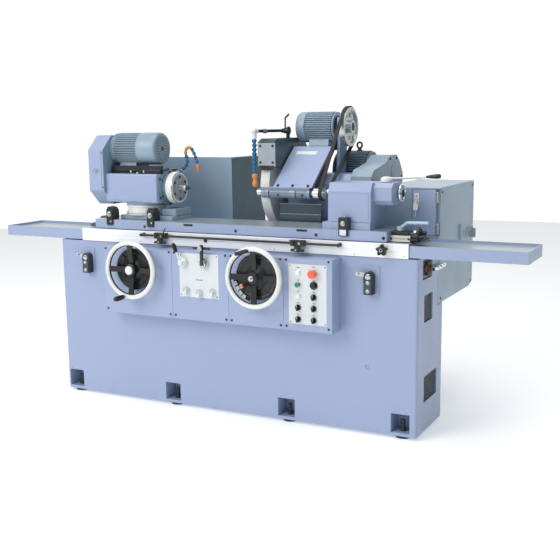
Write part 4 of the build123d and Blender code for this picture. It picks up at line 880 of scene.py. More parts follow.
# trip dogs: clamp lever, roller and latch
for number, node in enumerate(("trip_dog_left", "trip_dog_right")):
    x = sum(extent(node)[X]) / 2
    lever = Solid()
    lean = -1 if number == 0 else 1
    tip_z = 930 if number == 0 else 902
    lever.plate(Y, -48, 7, [(x - 22 * lean, 897), (x - 14 * lean, 890), (x - 34 * lean, tip_z - 4),
        (x - 42 * lean, tip_z + 4)])
    lever.turned((x - 20 * lean, -43, 892), FRONT, [(0, 8), (6, 8), (8, 6), (8, 0)], 24)
    lever.plate(Y, -44, 12, [(x - 36, 850), (x + 30, 850), (x + 38, 856), (x + 30, 862), (x - 30, 862)])
    lever.plate(Y, -42, 14, [(x - 10, 853), (x + 16, 853), (x + 10, 880), (x - 6, 880)])
    lever.done(f"dog_latch_{number + 1}", node, blackened, bevel=1.2)
    screw = Solid()
    screw.turned((x + 12, -43, 888), FRONT, [(0, 6.6), (4, 6.6), (5, 5.6), (5, 3), (2, 3), (2, 0)], 24)
    screw.turned((x - 4, -46, 857), FRONT, [(0, 5), (3, 5), (4, 4), (4, 0)], 20)
    screw.done(f"dog_screws_{number + 1}", node, steel, bevel=0.2)

# star knob with a bright centre
x, _, z = middle("star_knob")
star = Solid()
outline = []
for step in range(90):
    turn = 2 * pi * step / 90
    reach = 22.2 + 4.6 * cos(5 * turn)
    outline.append((x + reach * sin(turn), reach * cos(turn)))
star.skin([[(px, y, z + pz) for px, pz in [(x + (a - x) * size, b * size) for a, b in outline]]
           for y, size in ((-24, 0.86), (-27, 1.0), (-48, 1.0), (-51.5, 0.8))])
star.rod((x, -25, z), (x, -4, z), 8)
star.done("star_lobes", "star_knob", black_plastic, bevel=0, replaces=["star_knob"], sharp=50)
Solid().turned((x, -50.5, z), FRONT, [(0, 8), (1, 7.6), (1.4, 5), (0.6, 4.6), (0.6, 0)], 28).done(
    "star_centre", "star_knob", steel, bevel=0.2)

# ================================================================ swivel table
y0 = extent("swivel_table")[Y][0]
details = Solid()
for x in (540, 1073, 1501, 1832):
    details.turned((x, y0 + 0.2, 926), FRONT, [(0, 8), (0.8, 7.6), (1, 4.6), (0.3, 4), (0.3, 0)], 28)
details.done("oil_hole_plugs", "swivel_table", blackened, bevel=0)
slots = Solid()
for x in (802, 1428):
    slots.box((x - 26, x + 26), (y0 + 1, y0 + 5.8), (938.4, 948.6))
    for side in (-15, 0, 15):
        slots.turned((x + side, y0 + 1.2, 943.5), FRONT, [(0, 3.4), (1.2, 3), (1.2, 1.4), (0.4, 0)], 16)
slots.done("slot_plates", "swivel_table", blackened, bevel=0.3)

# left bracket, dark olive with an adjusting screw
bracket = Solid()
bracket.plate(Y, 62, 126, [(152, 908.2), (228, 908.2), (228, 938), (214, 941), (196, 941), (186, 925),
    (152, 921)])
bracket.plate(Y, 82, 86, [(192, 941), (254, 955.1), (258, 962.8), (210, 962.8), (198, 952)])
bracket.done("left_bracket", "swivel_table", olive, bevel=2.5, replaces=["swivel_end_fittings"])
bracket = Solid()
for y in (76, 174):
    bracket.turned((168, y, 921), UP, [(0, 8), (6, 8), (7, 7), (7, 4), (3, 4), (3, 0)], 6)
bracket.turned((190, 125, 931), (-1, 0, 0), [(0, 6), (30, 6), (32, 4)], 24)
bracket.done("left_bracket_screws", "swivel_table", steel, bevel=0.4)

# right end: scale plate, adjusting screw with its dial, clamp plate
end = Solid()
end.box((1847.2, 1990), (60, 150), (908.2, 930))
end.plate(Y, 60, 78, [(1847.2, 930), (1930, 930), (1926, 950), (1852, 950)])
end.box((1872, 1980), (46, 60), (912, 924))
end.done("right_bracket", "swivel_table", blackened, bevel=1.8)
Solid().prism([(1848, 40, 909), (1945, 40, 909), (1945, 46, 936), (1848, 46, 936)], (0, 8, 0)).done(
    "scale_plate", "swivel_table", beige, bevel=0.8)
marks = Solid()
SCALE_LEFT, SCALE_STEP = 1868, 2.6
for step in range(25):
    x = SCALE_LEFT + step * SCALE_STEP
    height = 9 if step % 5 == 0 else 5
    marks.prism([(x - 0.35, 42.2, 920), (x + 0.35, 42.2, 920),
        (x + 0.35, 42.2 + height * 0.22, 920 + height), (x - 0.35, 42.2 + height * 0.22, 920 + height)],
        (0, -0.3, 0))
for x in (1856, 1938):
    marks.turned((x, 43, 922), (0, -1, 0.2), [(0, 5), (2.4, 5), (3, 4), (1, 2.4), (1, 0)], 20)
marks.done("scale_marks", "swivel_table", black_paint, bevel=0, slot="black_plastic")
screw = Solid()
screw.rod((1925, 64, 930), (2005, 64, 930), 8)
screw.turned((1950, 64, 930), RIGHT_WAY, [(0, 12), (3, 14.8), (26, 14.8), (29, 12)], 40)
screw.toothed((1960.5, 100, 946), RIGHT_WAY, 15, 25.6, 1.4, 40)
screw.turned((1975, 100, 946), RIGHT_WAY, [(0, 18), (6, 17), (9, 10), (12, 9), (26, 9), (28, 6)], 32)
screw.done("swivel_adjuster", "swivel_table", blackened, bevel=0.4)
bright = Solid()
bright.turned((1946, 100, 946), RIGHT_WAY, [(0, 12), (12, 12), (13, 20), (14.4, 20)], 40)
bright.turned((1940, 88, 934), UP, [(0, 9), (10, 9), (12, 7), (12, 4), (7, 4), (7, 0)], 6)
bright.turned((1862, 128, 938), UP, [(0, 9), (12, 9), (14, 7)], 6)
bright.done("swivel_adjuster_dial", "swivel_table", steel, bevel=0.4)

# ================================================================ workhead
# workhead plate in grey teal: painted shade of its right-facing side
base = Solid()
base.box((352, 674), (62, 238), (955.2, 976))
base.box((590, 676), (92, 240), (976, 1011))
base.done("workhead_plate", "swivel_table", teal_paint_and_side_shade, bevel=3, replaces=["workhead_base"])
turntable = Solid()
turntable.turned((*TURNTABLE, 976), UP, [(0, 103), (4, 105), (20, 105), (22, 99), (40, 99), (42, 104.6),
    (50, 104.6), (52.6, 102)], 96)
turntable.done("workhead_turntable", "swivel_table", off_white, bevel=0.8)
marks = Solid()
for step in range(61):
    turn = radians(-150 + step * 2)
    out = Vector((cos(turn), sin(turn), 0))
    across = Vector((-out.y, out.x, 0)) * 0.4
    place = Vector((*TURNTABLE, 982)) + out * 105.0
    high = 13 if step % 5 == 0 else 7
    marks.prism([place - across, place + across, place + across + Vector((0, 0, high)),
        place - across + Vector((0, 0, high))], out * 0.3)
marks.done("turntable_scale", "swivel_table", black_paint, bevel=0, slot="black_plastic")
for number, x in enumerate((326, 580), start=1):
    clamp = Solid()
    clamp.plate(X, x - 20, 40, [(-1.5, 926), (6.5, 926), (9, 955.6), (60, 955.6), (60, 1000), (44, 1020),
        (14, 1021), (-1.5, 1004)])
    clamp.done(f"workhead_clamp_{number}", "swivel_table", black_paint, bevel=3)
    nut = Solid()
    nut.turned((x, -1.5, 984), FRONT, [(0, 14), (2, 14), (2, 11)], 32)
    nut.turned((x, -0.5, 984), FRONT, [(0, 10.4), (9, 10.4), (10.4, 8.6), (10.4, 0)], 6)
    nut.turned((x, 30, 1020), UP, [(0, 13), (2.6, 13), (2.6, 7), (4.6, 7), (5.2, 5)], 32)
    nut.turned((x + 10, -1.4, 946), FRONT, [(0, 5), (3, 5), (4, 4), (4, 0)], 20)
    nut.done(f"clamp_nuts_{number}", "swivel_table", steel, bevel=0.5)

y0 = extent("workhead_body")[Y][0]
Solid().box((296, 598), (y0 - 1.5, y0 + 0.5), (1056, 1178)).done(
    "workhead_front_cover", "workhead", enamel, bevel=1.4)
# end cover in darker teal: painted shade of the spindle nose
side = Solid()
side.box((599.5, 603), (56, 312), (1058, 1176))
side.turned((600, WORK_Y, WORK_Z), RIGHT_WAY, [(0, 92), (6, 92), (8, 90), (8, 72), (26, 72),
    (27.6, 70)], 80)
side.done("workhead_end_cover", "workhead", end_cover_painted_shade, bevel=1.4)
bolts = Solid()
for y, z in ((68, 1070), (68, 1164), (298, 1070), (298, 1164)):
    bolts.turned((602.6, y, z), RIGHT_WAY, [(0, 6.5), (3, 6.5), (4, 5.6), (4, 3.2), (1.6, 3),
        (1.6, 0)], 24)
for place in around((607.6, WORK_Y, WORK_Z), 82, range(30, 390, 60)):
    bolts.turned(place, RIGHT_WAY, [(0, 5), (2.4, 5), (3.2, 4.2), (3.2, 2.4), (1, 2.2), (1, 0)], 20)
bolts.done("workhead_screws", "workhead", blackened, bevel=0.2)
Solid().turned((*TURNTABLE, 1029.4), UP, [(0, 103), (2, 105), (14, 118), (15, 118), (15, 60)], 96).done(
    "workhead_skirt", "workhead", enamel, bevel=0.8)
Solid().turned((470, 60, 1190), UP, [(0, 7), (6, 7), (8, 5), (10, 0)], 24).done(
    "workhead_oiler", "workhead", chrome, bevel=0.3)

# nose: bright ring, ground steel drawn in off-white as a painted highlight, grey face with its bolts, centre
# with a dark tip
nose = Solid()
nose.turned((632, WORK_Y, WORK_Z), RIGHT_WAY, [(-1, 78), (0, 80.7), (4, 80.7), (5.5, 79.9), (7, 80.7),
    (31, 80.7), (36.4, 76), (36.4, 66)], 96)
nose.done("nose_ring", "work_spindle", off_white, bevel=0.3, slot="ground_steel")
face = Solid()
face.turned((664, WORK_Y, WORK_Z), RIGHT_WAY, [(0, 70), (3.4, 70), (4.6, 68), (4.6, 42), (6, 40), (8, 38),
    (8, 20), (4, 17)], 96)
face.done("nose_face", "work_spindle", cast_silver, bevel=0.3, slot="ground_steel")
bolts = Solid()
for place in around((668.4, WORK_Y, WORK_Z), 56, range(30, 390, 60)):
    bolts.turned(place, RIGHT_WAY, [(0, 6.4), (3, 6.4), (4, 5.4), (4, 3), (1, 2.8), (1, 0)], 24)
bolts.done("nose_bolts", "work_spindle", blackened, bevel=0.2)
sleeve = Solid()
sleeve.turned((668, WORK_Y, WORK_Z), RIGHT_WAY, [(0, 17.4), (6, 17.4), (7, 16), (40, 15.2),
    (41, 13.6)], 48)
sleeve.done("centre_sleeve", "work_spindle", chrome, bevel=0.3)
Solid().turned((706, WORK_Y, WORK_Z), RIGHT_WAY, [(0, 14.4), (4, 13.9), (30, 2.2), (33.6, 0)], 48).done(
    "centre_point", "work_spindle", blackened, bevel=0)

# belt guard: front strip, latch and screws
(x0, x1), (y0, _), (_, z1) = extent("workhead_belt_guard")
latch = Solid()
latch.toothed((237, y0 - 0.1, 1203), FRONT, 5, 12, 3.4, 5)
latch.turned((237, y0, 1203), FRONT, [(0, 15), (1.6, 15), (1.6, 10), (9, 6), (13, 5), (14, 0)], 32)
latch.plate(Y, y0 - 0.2, -4, [(222, 1199), (212, 1203), (222, 1207)])
latch.done("guard_latch", "workhead", steel, bevel=0.4)
seam = Solid()
seam.plate(X, x0 + 5, 1.2, [(98, z1), (97, z1 + 0.6), (270, z1 + 0.6), (270, z1)])
seam.plate(Y, y0 - 0.6, 0.6, [(x1 - 13, 1105), (x1 - 11.8, 1105), (x1 - 11.8, 1308), (x1 - 13, 1308)])
for z in (1120, 1296):
    seam.turned((x1 - 6, y0, z), FRONT, [(0, 4), (1.6, 3.6), (2, 2), (0.8, 1.8), (0.8, 0)], 20)
seam.done("guard_seam", "workhead", blackened, bevel=0)


def machine_motor(node, body, joint, x, radius, fan, paint, dark, fins):
    """A finned motor frame and its fan cover, fan mm long; a fan below zero puts the cover left."""
    _, y, z = pivot(joint)
    way = 1 if fan > 0 else -1
    start = x[0] if fan > 0 else x[1]
    length = x[1] - x[0]
    frame_end = length - abs(fan)
    shell = Solid()
    shell.turned((start, y, z), (way, 0, 0), [(0, radius * 0.72), (2, radius * 0.80), (10, radius * 0.84),
        (12, radius * 0.85), (frame_end + 2, radius * 0.85)], 72)
    for index in range(fins):
        turn = 2 * pi * (index + 0.5) / fins
        out = Vector((0, cos(turn), sin(turn)))
        across = Vector((0, -sin(turn), cos(turn)))
        root = Vector((start + way * 13, y, z)) + out * radius * 0.83
        tall, thick = radius * 0.16, radius * 0.024
        shell.prism([root - across * thick * 1.6, root + across * thick * 1.6,
            root + out * tall + across * thick, root + out * tall - across * thick],
            (way * (frame_end - 15), 0, 0))
    shell.done(node + "_frame", body, paint, bevel=0.7, slot="body_paint", replaces=[node])
    cover = Solid()
    profile = [(frame_end - 3, radius * 0.93), (frame_end - 3, radius * 0.985), (frame_end, radius * 0.992),
        (frame_end + 4, radius * 0.998), (length - 0.13 * radius, radius * 0.992),
        (length - 0.05 * radius, radius * 0.95), (length - 0.012 * radius, radius * 0.87),
        (length - 0.002 * radius, radius * 0.80), (length, radius * 0.30), (length, 0)]
    cover.turned((start, y, z), (way, 0, 0), profile, 96)
    cover.done(node + "_fan_cover", body, paint, bevel=0, slot="body_paint", sharp=50)
    # dark discs on the fan cover stand for its holes: painted shade of the holes' insides
    grille_hole_shade = Solid()
    place = Vector((start + way * (length - 0.4), y, z))
    for rows, reach in ((10, 0.30), (16, 0.44), (22, 0.58), (28, 0.71)):
        for index in range(rows):
            turn = 2 * pi * index / rows
            hole = place + Vector((0, cos(turn), sin(turn))) * radius * reach
            grille_hole_shade.turned(hole, (way, 0, 0), [(0, 0.040 * radius), (0.7, 0.040 * radius), (0.7, 0)], 10)
    grille_hole_shade.turned(place, (way, 0, 0), [(0, 0.17 * radius), (1.2, 0.16 * radius), (1.2, 0.1 * radius),
        (0.6, 0.09 * radius), (0.6, 0)], 32)
    grille_hole_shade.done(node + "_grille", body, dark, bevel=0, slot="dark_iron")


machine_motor("workhead_motor", "workhead", "work_motor_spin",
    (292, 562), 83, 112, teal_paint_and_side_shade, dark_teal_and_shade, 40)
_, y, z = pivot("work_motor_spin")
foot = Solid()
foot.prism([(318, y - 58, 1210.5), (432, y - 58, 1210.5), (424, y - 40, 1250), (326, y - 40, 1250)],
    (0, 116, 0))
foot.turned((287, y, z), RIGHT_WAY, [(-2.8, 78), (0, 80), (6, 80), (8, 74), (14, 72)], 72)
foot.done("workhead_motor_foot", "workhead", teal_paint_and_side_shade, bevel=3)
plates = Solid()
plates.box((289, 602), (77, 235), (1202, 1209.6))
plates.box((300, 592), (84, 228), (1190.4, 1201))
plates.box((296, 604), (80, 100), (1209, 1230))
plates.plate(Y, 70, 14, [(470, 1196), (600, 1196), (600, 1207), (470, 1207)])
plates.rod((596, 90, 1200), (644, 90, 1217), 6.2)
plates.done("motor_tension_plates", "workhead", black_paint, bevel=1.5)
bolts = Solid()
for x in (334, 414):
    bolts.turned((x, y - 64, 1209.6), UP, [(0, 9), (2.5, 9), (2.5, 7), (9, 7), (10, 5)], 6)
    bolts.turned((x + 90, 70, 1201), FRONT, [(0, 6.5), (4, 6.5), (5, 5), (5, 0)], 6)
bolts.done("motor_foot_bolts", "workhead", chrome, bevel=0.4)


def bead_hose(name, body, points, radius, material, slot="hose_blue"):
    """Jointed hose: beads with a waist between each and the next."""
    hose = Solid()
    for place, follow in zip(points[:-1], points[1:]):
        run = Vector(follow) - Vector(place)
        size = run.length
        hose.turned(place, run, [(0, radius * 0.62), (size * 0.10, radius * 0.66),
            (size * 0.16, radius * 0.95), (size * 0.34, radius), (size * 0.55, radius * 0.93),
            (size * 0.72, radius * 0.72), (size * 0.98, radius * 0.62)], 28)
    return hose.done(name, body, material, bevel=0, slot=slot, sharp=60)


bend = ((624, 1206), (642, 1220), (654, 1240), (652, 1263), (645, 1285), (645, 1307), (660, 1322),
    (680, 1316), (692, 1297), (702, 1277), (710, 1256), (716, 1234))
points = [(px, 250, pz) for px, pz in bend]
hose = bead_hose("work_hose_blue", "workhead", points[0:5], 9.6, blue_plastic)
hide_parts("work_coolant_hose")
bead_hose("work_hose_orange", "workhead", points[4:8], 9.6, orange_plastic)
bead_hose("work_hose_blue_end", "workhead", points[7:12], 9.4, blue_plastic)
tipped = Solid()
tipped.turned((716.5, 250, 1232), (0.07, 0, -1), [(0, 8), (6, 9.4), (14, 9), (26, 5.6), (43, 4.4)], 28)
tipped.done("work_hose_nozzle", "workhead", orange_plastic, bevel=0.4)
root = Solid()
root.rod((600.4, 250, 1176), (617.5, 250, 1176), 11.6)
root.rod((611, 250, 1176), (612, 250, 1202), 6)
root.turned((612, 250, 1196), (0.7, 0, 0.35), [(0, 7), (8, 8), (13, 6.6)], 24)
root.done("work_hose_root", "workhead", steel, bevel=0.6)

# ================================================================ tailstock
hx, wy, _ = pivot("tailstock_lever_turn")
lever = Solid()
lever.rod((hx, wy, 1153), (hx, wy, 1168), 12)
lever.turned((hx, wy, 1166.8), UP, [(0, 24), (1, 27.6), (14, 27.6), (20, 24), (24, 15), (25, 6),
    (25.2, 0)], 56)
lever.done("lever_hub", "tailstock_lever", off_white, bevel=0.5, replaces=["tailstock_lever"])
Solid().turned((hx + 20, wy, 1182), (203, 0, 12), [(0, 6.5), (10, 6.5), (14, 5), (188, 4.6)], 28).done(
    "lever_rod", "tailstock_lever", steel, bevel=0.2)
lever = Solid()
lever.turned((1980, wy, 1193.2), (65, 0, 3.8), [(0, 4), (4, 5.5), (20, 8), (48, 10.8), (62, 10.6),
    (68, 7.5), (70, 0)], 36)
lever.done("lever_grip", "tailstock_lever", black_plastic, bevel=0)

x0 = extent("tailstock_body")[X][1]
wheel = Solid()
wheel.ring((x0 + 20, wy, WORK_Z), RIGHT_WAY, 38, 5.7, 72, 14)
wheel_spokes = (around((x0 + 20, wy, WORK_Z), reach, range(0, 360, 60)) for reach in (14, 36))
for inner, outer in zip(*wheel_spokes):
    wheel.rod(inner, outer, 4.2, 16)
wheel.turned((x0 + 0.6, wy, WORK_Z), RIGHT_WAY, [(0, 9.6), (5, 10), (6, 16), (14, 18), (24, 18)], 40)
wheel.done("quill_wheel", "tailstock_knob", chrome, bevel=0.4, replaces=["tailstock_knob"])
Solid().turned((x0 + 24, wy, WORK_Z), RIGHT_WAY, [(0, 17), (3, 17), (5.4, 13), (5.8, 0)], 40).done(
    "quill_wheel_cap", "tailstock_knob", black_plastic, bevel=0.4)
Solid().turned((1548, wy, WORK_Z), (-1, 0, 0), [(0, 46), (4, 46), (6, 44), (6, 31)], 64).done(
    "quill_collar", "tailstock", steel, bevel=0.5)
tail_bolts = Solid()
for place in around((1542.6, wy, WORK_Z), 39, range(45, 405, 90)):
    tail_bolts.turned(place, (-1, 0, 0), [(0, 4), (2, 4), (2.6, 3.2), (1, 2), (1, 0)], 18)
tail_bolts.turned((1640, -4, 985), FRONT, [(0, 12), (2, 12), (2, 9)], 32)
tail_bolts.turned((1640, -5, 985), FRONT, [(0, 9.5), (8, 9.5), (9, 8), (9, 0)], 6)
tail_bolts.turned((1640, 20, 1012), UP, [(0, 10), (3, 10), (3, 6), (9, 6), (10, 4)], 28)
tail_bolts.done("tailstock_bolts", "tailstock", steel, bevel=0.4)
Solid().box((1624, 1656), (-5.5, -3.8), (931, 957)).done(
    "clamp_label", "tailstock", label_white, bevel=0.6)
Solid().plate(Y, 39.6, -1.2, [(1558, 990), (1748, 990), (1748, 1119), (1558, 1119)]).done(
    "tailstock_front", "tailstock", enamel, bevel=0.9)

# ================================================================ wheel guard and motor
(x0, x1), (y0, _), (_, z1) = extent("wheel_guard")
Solid().box((x0 + 2, x1 - 2), (y0 - 3, y0 + 0.2), (1221, 1340)).done(
    "wheel_guard_front", "wheelhead", cast_silver, bevel=1.2, slot="dark_iron")
strip = Solid()
strip.box((x0 + 13, x1 - 13), (y0 - 2, y0 + 0.2), (1204, 1222))
strip.box((x0 + 7, x1 - 7), (y0 - 4, y0 + 0.2), (1216, 1228))
strip.done("wheel_guard_latch", "wheelhead", black_paint, bevel=1)
screws = Solid()
for x in (x0 + 16, x1 - 16):
    for z in (1243, 1326):
        screws.turned((x, y0 - 2.9, z), FRONT, [(0, 6.4), (3, 6.4), (4, 5.4), (4, 3.2), (1.4, 3),
            (1.4, 0)], 24)
screws.done("wheel_guard_screws", "wheelhead", blackened, bevel=0.2)
seam = Solid()
for x in (x0 + 10, x1 - 13):
    seam.plate(X, x, 2, [(330, z1), (330, z1 + 0.5), (760, z1 + 0.5), (760, z1)])
seam.done("wheel_guard_seams", "wheelhead", black_paint, bevel=0)

machine_motor("main_motor", "wheelhead", "main_motor_spin", (1300, 1496), 106, -46, motor_teal, dark_teal_and_shade,
    52)
_, y, z = pivot("main_motor_spin")
foot = Solid()
foot.plate(X, 1330, 130, [(y - 78, 1062.4), (y + 78, 1062.4), (y + 62, 1108), (y - 62, 1108)])
foot.turned((1496, y, z), (-1, 0, 0), [(0, 96), (0, 101), (7, 101), (9, 92), (15, 90)], 72)
foot.done("main_motor_foot", "wheelhead", motor_teal, bevel=3)
eye = Solid()
eye.turned((1420, y, 1266), UP, [(0, 22), (22, 22), (24, 18), (28, 12), (33, 10)], 40)
eye.ring((1420, y, 1318), (0.25, 1, 0), 15.5, 5.2, 56, 12)
eye.done("main_motor_eye", "wheelhead", blackened, bevel=0.6)

x1 = extent("belt_cover")[X][1]
# plug on the belt cover in grey teal, painted shade like the cover
Solid().turned((x1 - 0.1, 750, 1185), RIGHT_WAY, [(0, 34), (1.6, 34), (1.6, 30), (2.2, 0)], 48).done(
    "belt_cover_plug", "wheelhead", teal_paint_and_side_shade, bevel=0.3)
screws = Solid()
for y, z in ((446, 984), (884, 984), (446, 1150), (884, 1150), (702, 1250), (798, 1250)):
    screws.turned((x1 - 0.1, y, z), RIGHT_WAY, [(0, 7), (3, 7), (4, 5.6), (4, 3.2), (1.6, 3),
        (1.6, 0)], 24)
screws.done("belt_cover_screws", "wheelhead", blackened, bevel=0.2)

# ================================================================ coolant line over the wheel
TURN = (1026, 300, 1400)
pipe = Solid()
pipe.rod((1100, 470, TURN[2]), TURN, 7.8)
pipe.turned((1116, 470, TURN[2]), (-1, 0, 0), [(-18, 15), (0, 15), (6, 12), (16, 12), (21, 8)], 32)
pipe.turned((1132, 470, TURN[2]), RIGHT_WAY, [(0, 20), (1, 21.6), (9, 21.6), (10, 19)], 40)
pipe.box((1128.4, 1138), (457, 483), (1361, 1384))
pipe.done("coolant_pipe", "wheelhead", black_paint, bevel=0.7, replaces=["coolant_line"])
run = Vector((TURN[0] - 1100, TURN[1] - 470, 0)).normalized()
nut = Solid()
near = Vector((1058, 375, TURN[2]))
nut.turned(near, run, [(0, 10), (1, 13), (11, 13), (12, 10.6), (14, 10.6), (14, 12.4), (24, 12.4),
    (25, 9.5)], 6)
nut.done("coolant_union", "wheelhead", steel, bevel=0.5)
elbow = Solid()
elbow.ball(TURN, 15.6, 32)
elbow.turned((TURN[0], TURN[1], TURN[2] + 2), (0, 0, -1), [(0, 11), (16, 11.6), (20, 13), (40, 13),
    (41, 11)], 32)
elbow.turned(Vector(TURN) - run * 22, run, [(0, 10), (2, 12), (16, 12), (22, 14)], 32)
elbow.done("coolant_elbow", "wheelhead", label_white, bevel=0.6)
beads = [(TURN[0], TURN[1], 1360 - 22.0 * step) for step in range(9)]
bead_hose("coolant_hose_beads", "wheelhead", beads, 13.2, blue_plastic)
tip = Solid()
tip.turned((TURN[0], TURN[1], 1186), (0.05, -0.04, -1), [(0, 10), (5, 15), (16, 15.4), (24, 11), (34, 10),
    (44, 13.6), (58, 14), (66, 10), (68, 5)], 36)
tip.done("coolant_nozzle", "wheelhead", orange_plastic, bevel=0.4)

# ================================================================ internal grinding arm
machine_motor("internal_motor", "internal_arm", "internal_arm_swing",
    (1146, 1361), 80, -48, teal_paint_and_side_shade, dark_teal_and_shade, 42)
_, y, z = pivot("internal_arm_swing")
foot = Solid()
foot.plate(X, 1216, 113, [(542, 1318.3), (658, 1318.3), (646, 1360), (554, 1360)])
foot.turned((1361, y, z), (-1, 0, 0), [(0, 72), (0, 77), (7, 77), (9, 70), (15, 68)], 64)
foot.done("internal_motor_foot", "internal_arm", teal_paint_and_side_shade, bevel=3)
# leaning plate: its outside runs from (262, 1122) to (512, 1318)
lean = Vector((0, 512 - BAR_Y, 1318 - 1122)).normalized()
out = Vector((0, -lean.z, lean.y))


def on_arm(x, reach, lift=0.0):
    """A place on the arm's leaning front, a reach up from its lower edge."""
    return Vector((x, BAR_Y, 1122)) + lean * reach + out * lift


label = Solid()
label.prism([on_arm(x, reach, 0.1) for x, reach in ((1180, 252), (1298, 252), (1298, 278), (1180, 278))],
            out * 1.2)
label.done("arm_label", "internal_arm", label_white, bevel=0.5)
screws = Solid()
for x in (1172, 1254, 1338):
    screws.turned(on_arm(x, 13, -0.2), out, [(0, 7), (5, 7), (6, 6), (6, 3.6), (2, 3.4), (2, 0)], 24)
for x in (1185, 1293):
    screws.turned(on_arm(x, 265, 1.4), out, [(0, 2.2), (0.8, 1.6), (0.8, 0)], 14)
screws.done("arm_screws", "internal_arm", blackened, bevel=0.2)
bands = Solid()
bands.turned((1092, BAR_Y, BAR_Z), RIGHT_WAY, [(-0.4, 22), (-0.4, 27.5), (18, 27.5), (18, 24)], 56)
bands.turned((1118, BAR_Y, BAR_Z), RIGHT_WAY, [(0, 24), (0, 28), (8, 28.6), (16, 28), (16, 24)], 56)
bands.turned((1252, BAR_Y, BAR_Z), RIGHT_WAY, [(0, 24), (0, 28), (30, 28), (30, 24)], 56)
bands.turned((1346, BAR_Y, BAR_Z), RIGHT_WAY, [(0, 24), (0, 28.4), (15, 28.4), (15, 24)], 56)
bands.done("spindle_bar_bands", "internal_arm", steel_blue, bevel=0.4)
bands = Solid()
bands.turned((1134, BAR_Y, BAR_Z), RIGHT_WAY, [(0, 24), (0, 27.4), (6, 27.4), (6, 24)], 56)
bands.turned((1282, BAR_Y, BAR_Z), RIGHT_WAY, [(0, 24), (0, 27.4), (6, 27.4), (6, 24)], 56)
for x in (1190, 1322):
    bands.turned((x, BAR_Y - 25, BAR_Z - 9), (0, -1, -0.36), [(0, 6), (4, 6), (5, 5), (5, 3), (2, 3),
        (2, 0)], 20)
bands.done("spindle_bar_grooves", "internal_arm", blackened, bevel=0.3)

_, y, z = pivot("internal_pulley_spin")
x1 = extent("internal_pulley")[X][1]
face = Solid()
face.turned((x1, y, z), RIGHT_WAY, [(-2, 22), (0.6, 22), (1.4, 20), (1.4, 10), (0.4, 9), (0.4, 0)], 48)
face.done("internal_pulley_nut", "internal_pulley", blackened, bevel=0.4)
# dark discs on the pulley face stand for its pockets: painted shade of their insides
face = Solid()
for place in around((1433, y, z), 62, range(20, 380, 90)):
    face.turned(place, RIGHT_WAY, [(-0.2, 13), (0.4, 13), (0.4, 0)], 32)
face.done("internal_pulley_pocket_shade", "internal_pulley", dark_teal_and_shade, bevel=0)

# ================================================================ way cover and splash guard
slats = Solid()
edges = Solid()
SLATS, SLAT_LOW, SLAT_HIGH = 4, 838.0, 1040.0
for step in range(SLATS):
    z0 = SLAT_LOW + (SLAT_HIGH - SLAT_LOW) * step / SLATS
    z1 = SLAT_LOW + (SLAT_HIGH - SLAT_LOW) * (step + 1) / SLATS
    front_y = 296 + 3 * step
    slats.plate(Z, z0, z1 - z0 - 4, [(1165, front_y + 0.3), (1395, front_y + 0.3), (1395, 317.6),
        (1165, 317.6)])
    edges.plate(Z, z1 - 4, 3.6, [(1165, front_y + 0.3), (1395, front_y + 0.3), (1395, 317.6),
        (1165, 317.6)])
slats.done("way_cover_slats", "bed", dark_teal_and_shade, bevel=1.2, replaces=["rear_guards"])
edges.done("way_cover_edges", "bed", teal_paint_and_side_shade, bevel=0.8)
# splash guard front in darker enamel: painted shade of its recessed place
guard = Solid()
guard.plate(Y, 475, 4, [(250, 905), (250, 1256), (790, 1256), (790, 850), (292, 850), (292, 905)])
guard.box((250, 254), (479, 595), (905, 1256))
guard.plate(Z, 1256, 4, [(250, 475), (790, 475), (790, 500), (250, 500)])
guard.plate(Z, 1256, 4, [(750, 500), (790, 500), (790, 860), (750, 860)])
guard.plate(Z, 1256, 4, [(250, 500), (275, 500), (275, 595), (250, 595)])
guard.done("splash_guard", "bed", enamel_recess_shade, bevel=0.8)
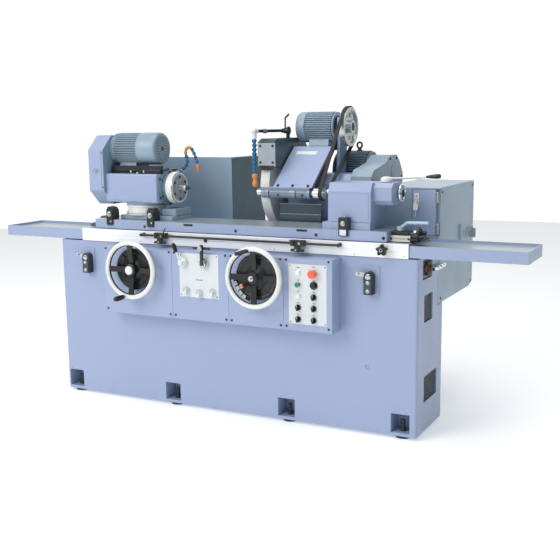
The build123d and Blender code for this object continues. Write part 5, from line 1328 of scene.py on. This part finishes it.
# right side of the splash guard in painted shade
Solid().box((786.2, 790), (479.2, 860), (850, 1256)).done("splash_guard_side", "bed", side_painted_shade, bevel=0.8)
bolts = Solid()
for x in (330, 520, 710):
    bolts.turned((x, 475, 866), FRONT, [(0, 7), (4, 7), (5, 6), (5, 0)], 6)
for y in (540, 800):
    bolts.turned((790, y, 866), RIGHT_WAY, [(0, 7), (4, 7), (5, 6), (5, 0)], 6)
bolts.done("splash_guard_bolts", "bed", blackened, bevel=0.3)

# ================================================================ electrical cabinet
Solid().box((1878.3, 1903.7), (288.6, 291.9), (1042.3, 1107.7)).done(
    "door_lock_plate", "cabinet_door", label_white, bevel=0.8)
lock = Solid()
lock.turned((1891, 288.8, 1057), FRONT, [(0, 5), (1.4, 4.6), (1.4, 0)], 20)
lock.turned((1891, 288.8, 1094), FRONT, [(0, 4), (1.2, 3.6), (1.2, 0)], 20)
lock.done("door_lock_screws", "cabinet_door", steel, bevel=0)
# spare key: a chrome key drawn in pale matte white, a painted glint
key = Solid()
key.ring((1891, 281, 1061), (0.3, 1, 0), 13, 1.6, 48, 8)
key.plate(Y, 279, 2.4, [(1886, 1048), (1896, 1048), (1900, 1036), (1896, 1024), (1893.5, 1020),
    (1893.5, 996), (1888.5, 996), (1888.5, 1020), (1886, 1024), (1882, 1036)])
key.done("spare_key", "cabinet_key", label_white, bevel=0.4, slot="chrome")
hinges = Solid()
for low_z in (918, 1066):
    hinges.rod((1993, 286, low_z), (1993, 286, low_z + 50), 6.4, 28)
    for z in (low_z + 12, low_z + 38):
        hinges.turned((1975, 292, z), FRONT, [(0, 4), (1.2, 3.6), (1.6, 2), (0.6, 1.8), (0.6, 0)], 18)
hinges.done("door_hinge_knuckles", "cabinet_door", steel, bevel=0.3)
x1 = extent("isolator_knob")[X][1]
Solid().turned((2000.2, 826, 869), RIGHT_WAY, [(-0.2, 30), (2, 30), (3, 28), (3, 0)], 48).done(
    "isolator_plate", "bed", label_white, bevel=0.4)
Solid().box((x1 - 0.4, x1 + 0.1), (824.8, 827.2), (871, 884)).done(
    "isolator_pointer", "isolator_knob", label_white, bevel=0)
screws = Solid()
for y, z in ((340, 1112), (880, 1112), (340, 606), (880, 606)):
    screws.turned((1999.8, y, z), RIGHT_WAY, [(0, 6), (2.4, 5.4), (3.2, 3), (1.6, 2.6), (1.6, 0)], 24)
screws.done("cabinet_screws", "bed", blackened, bevel=0.1)
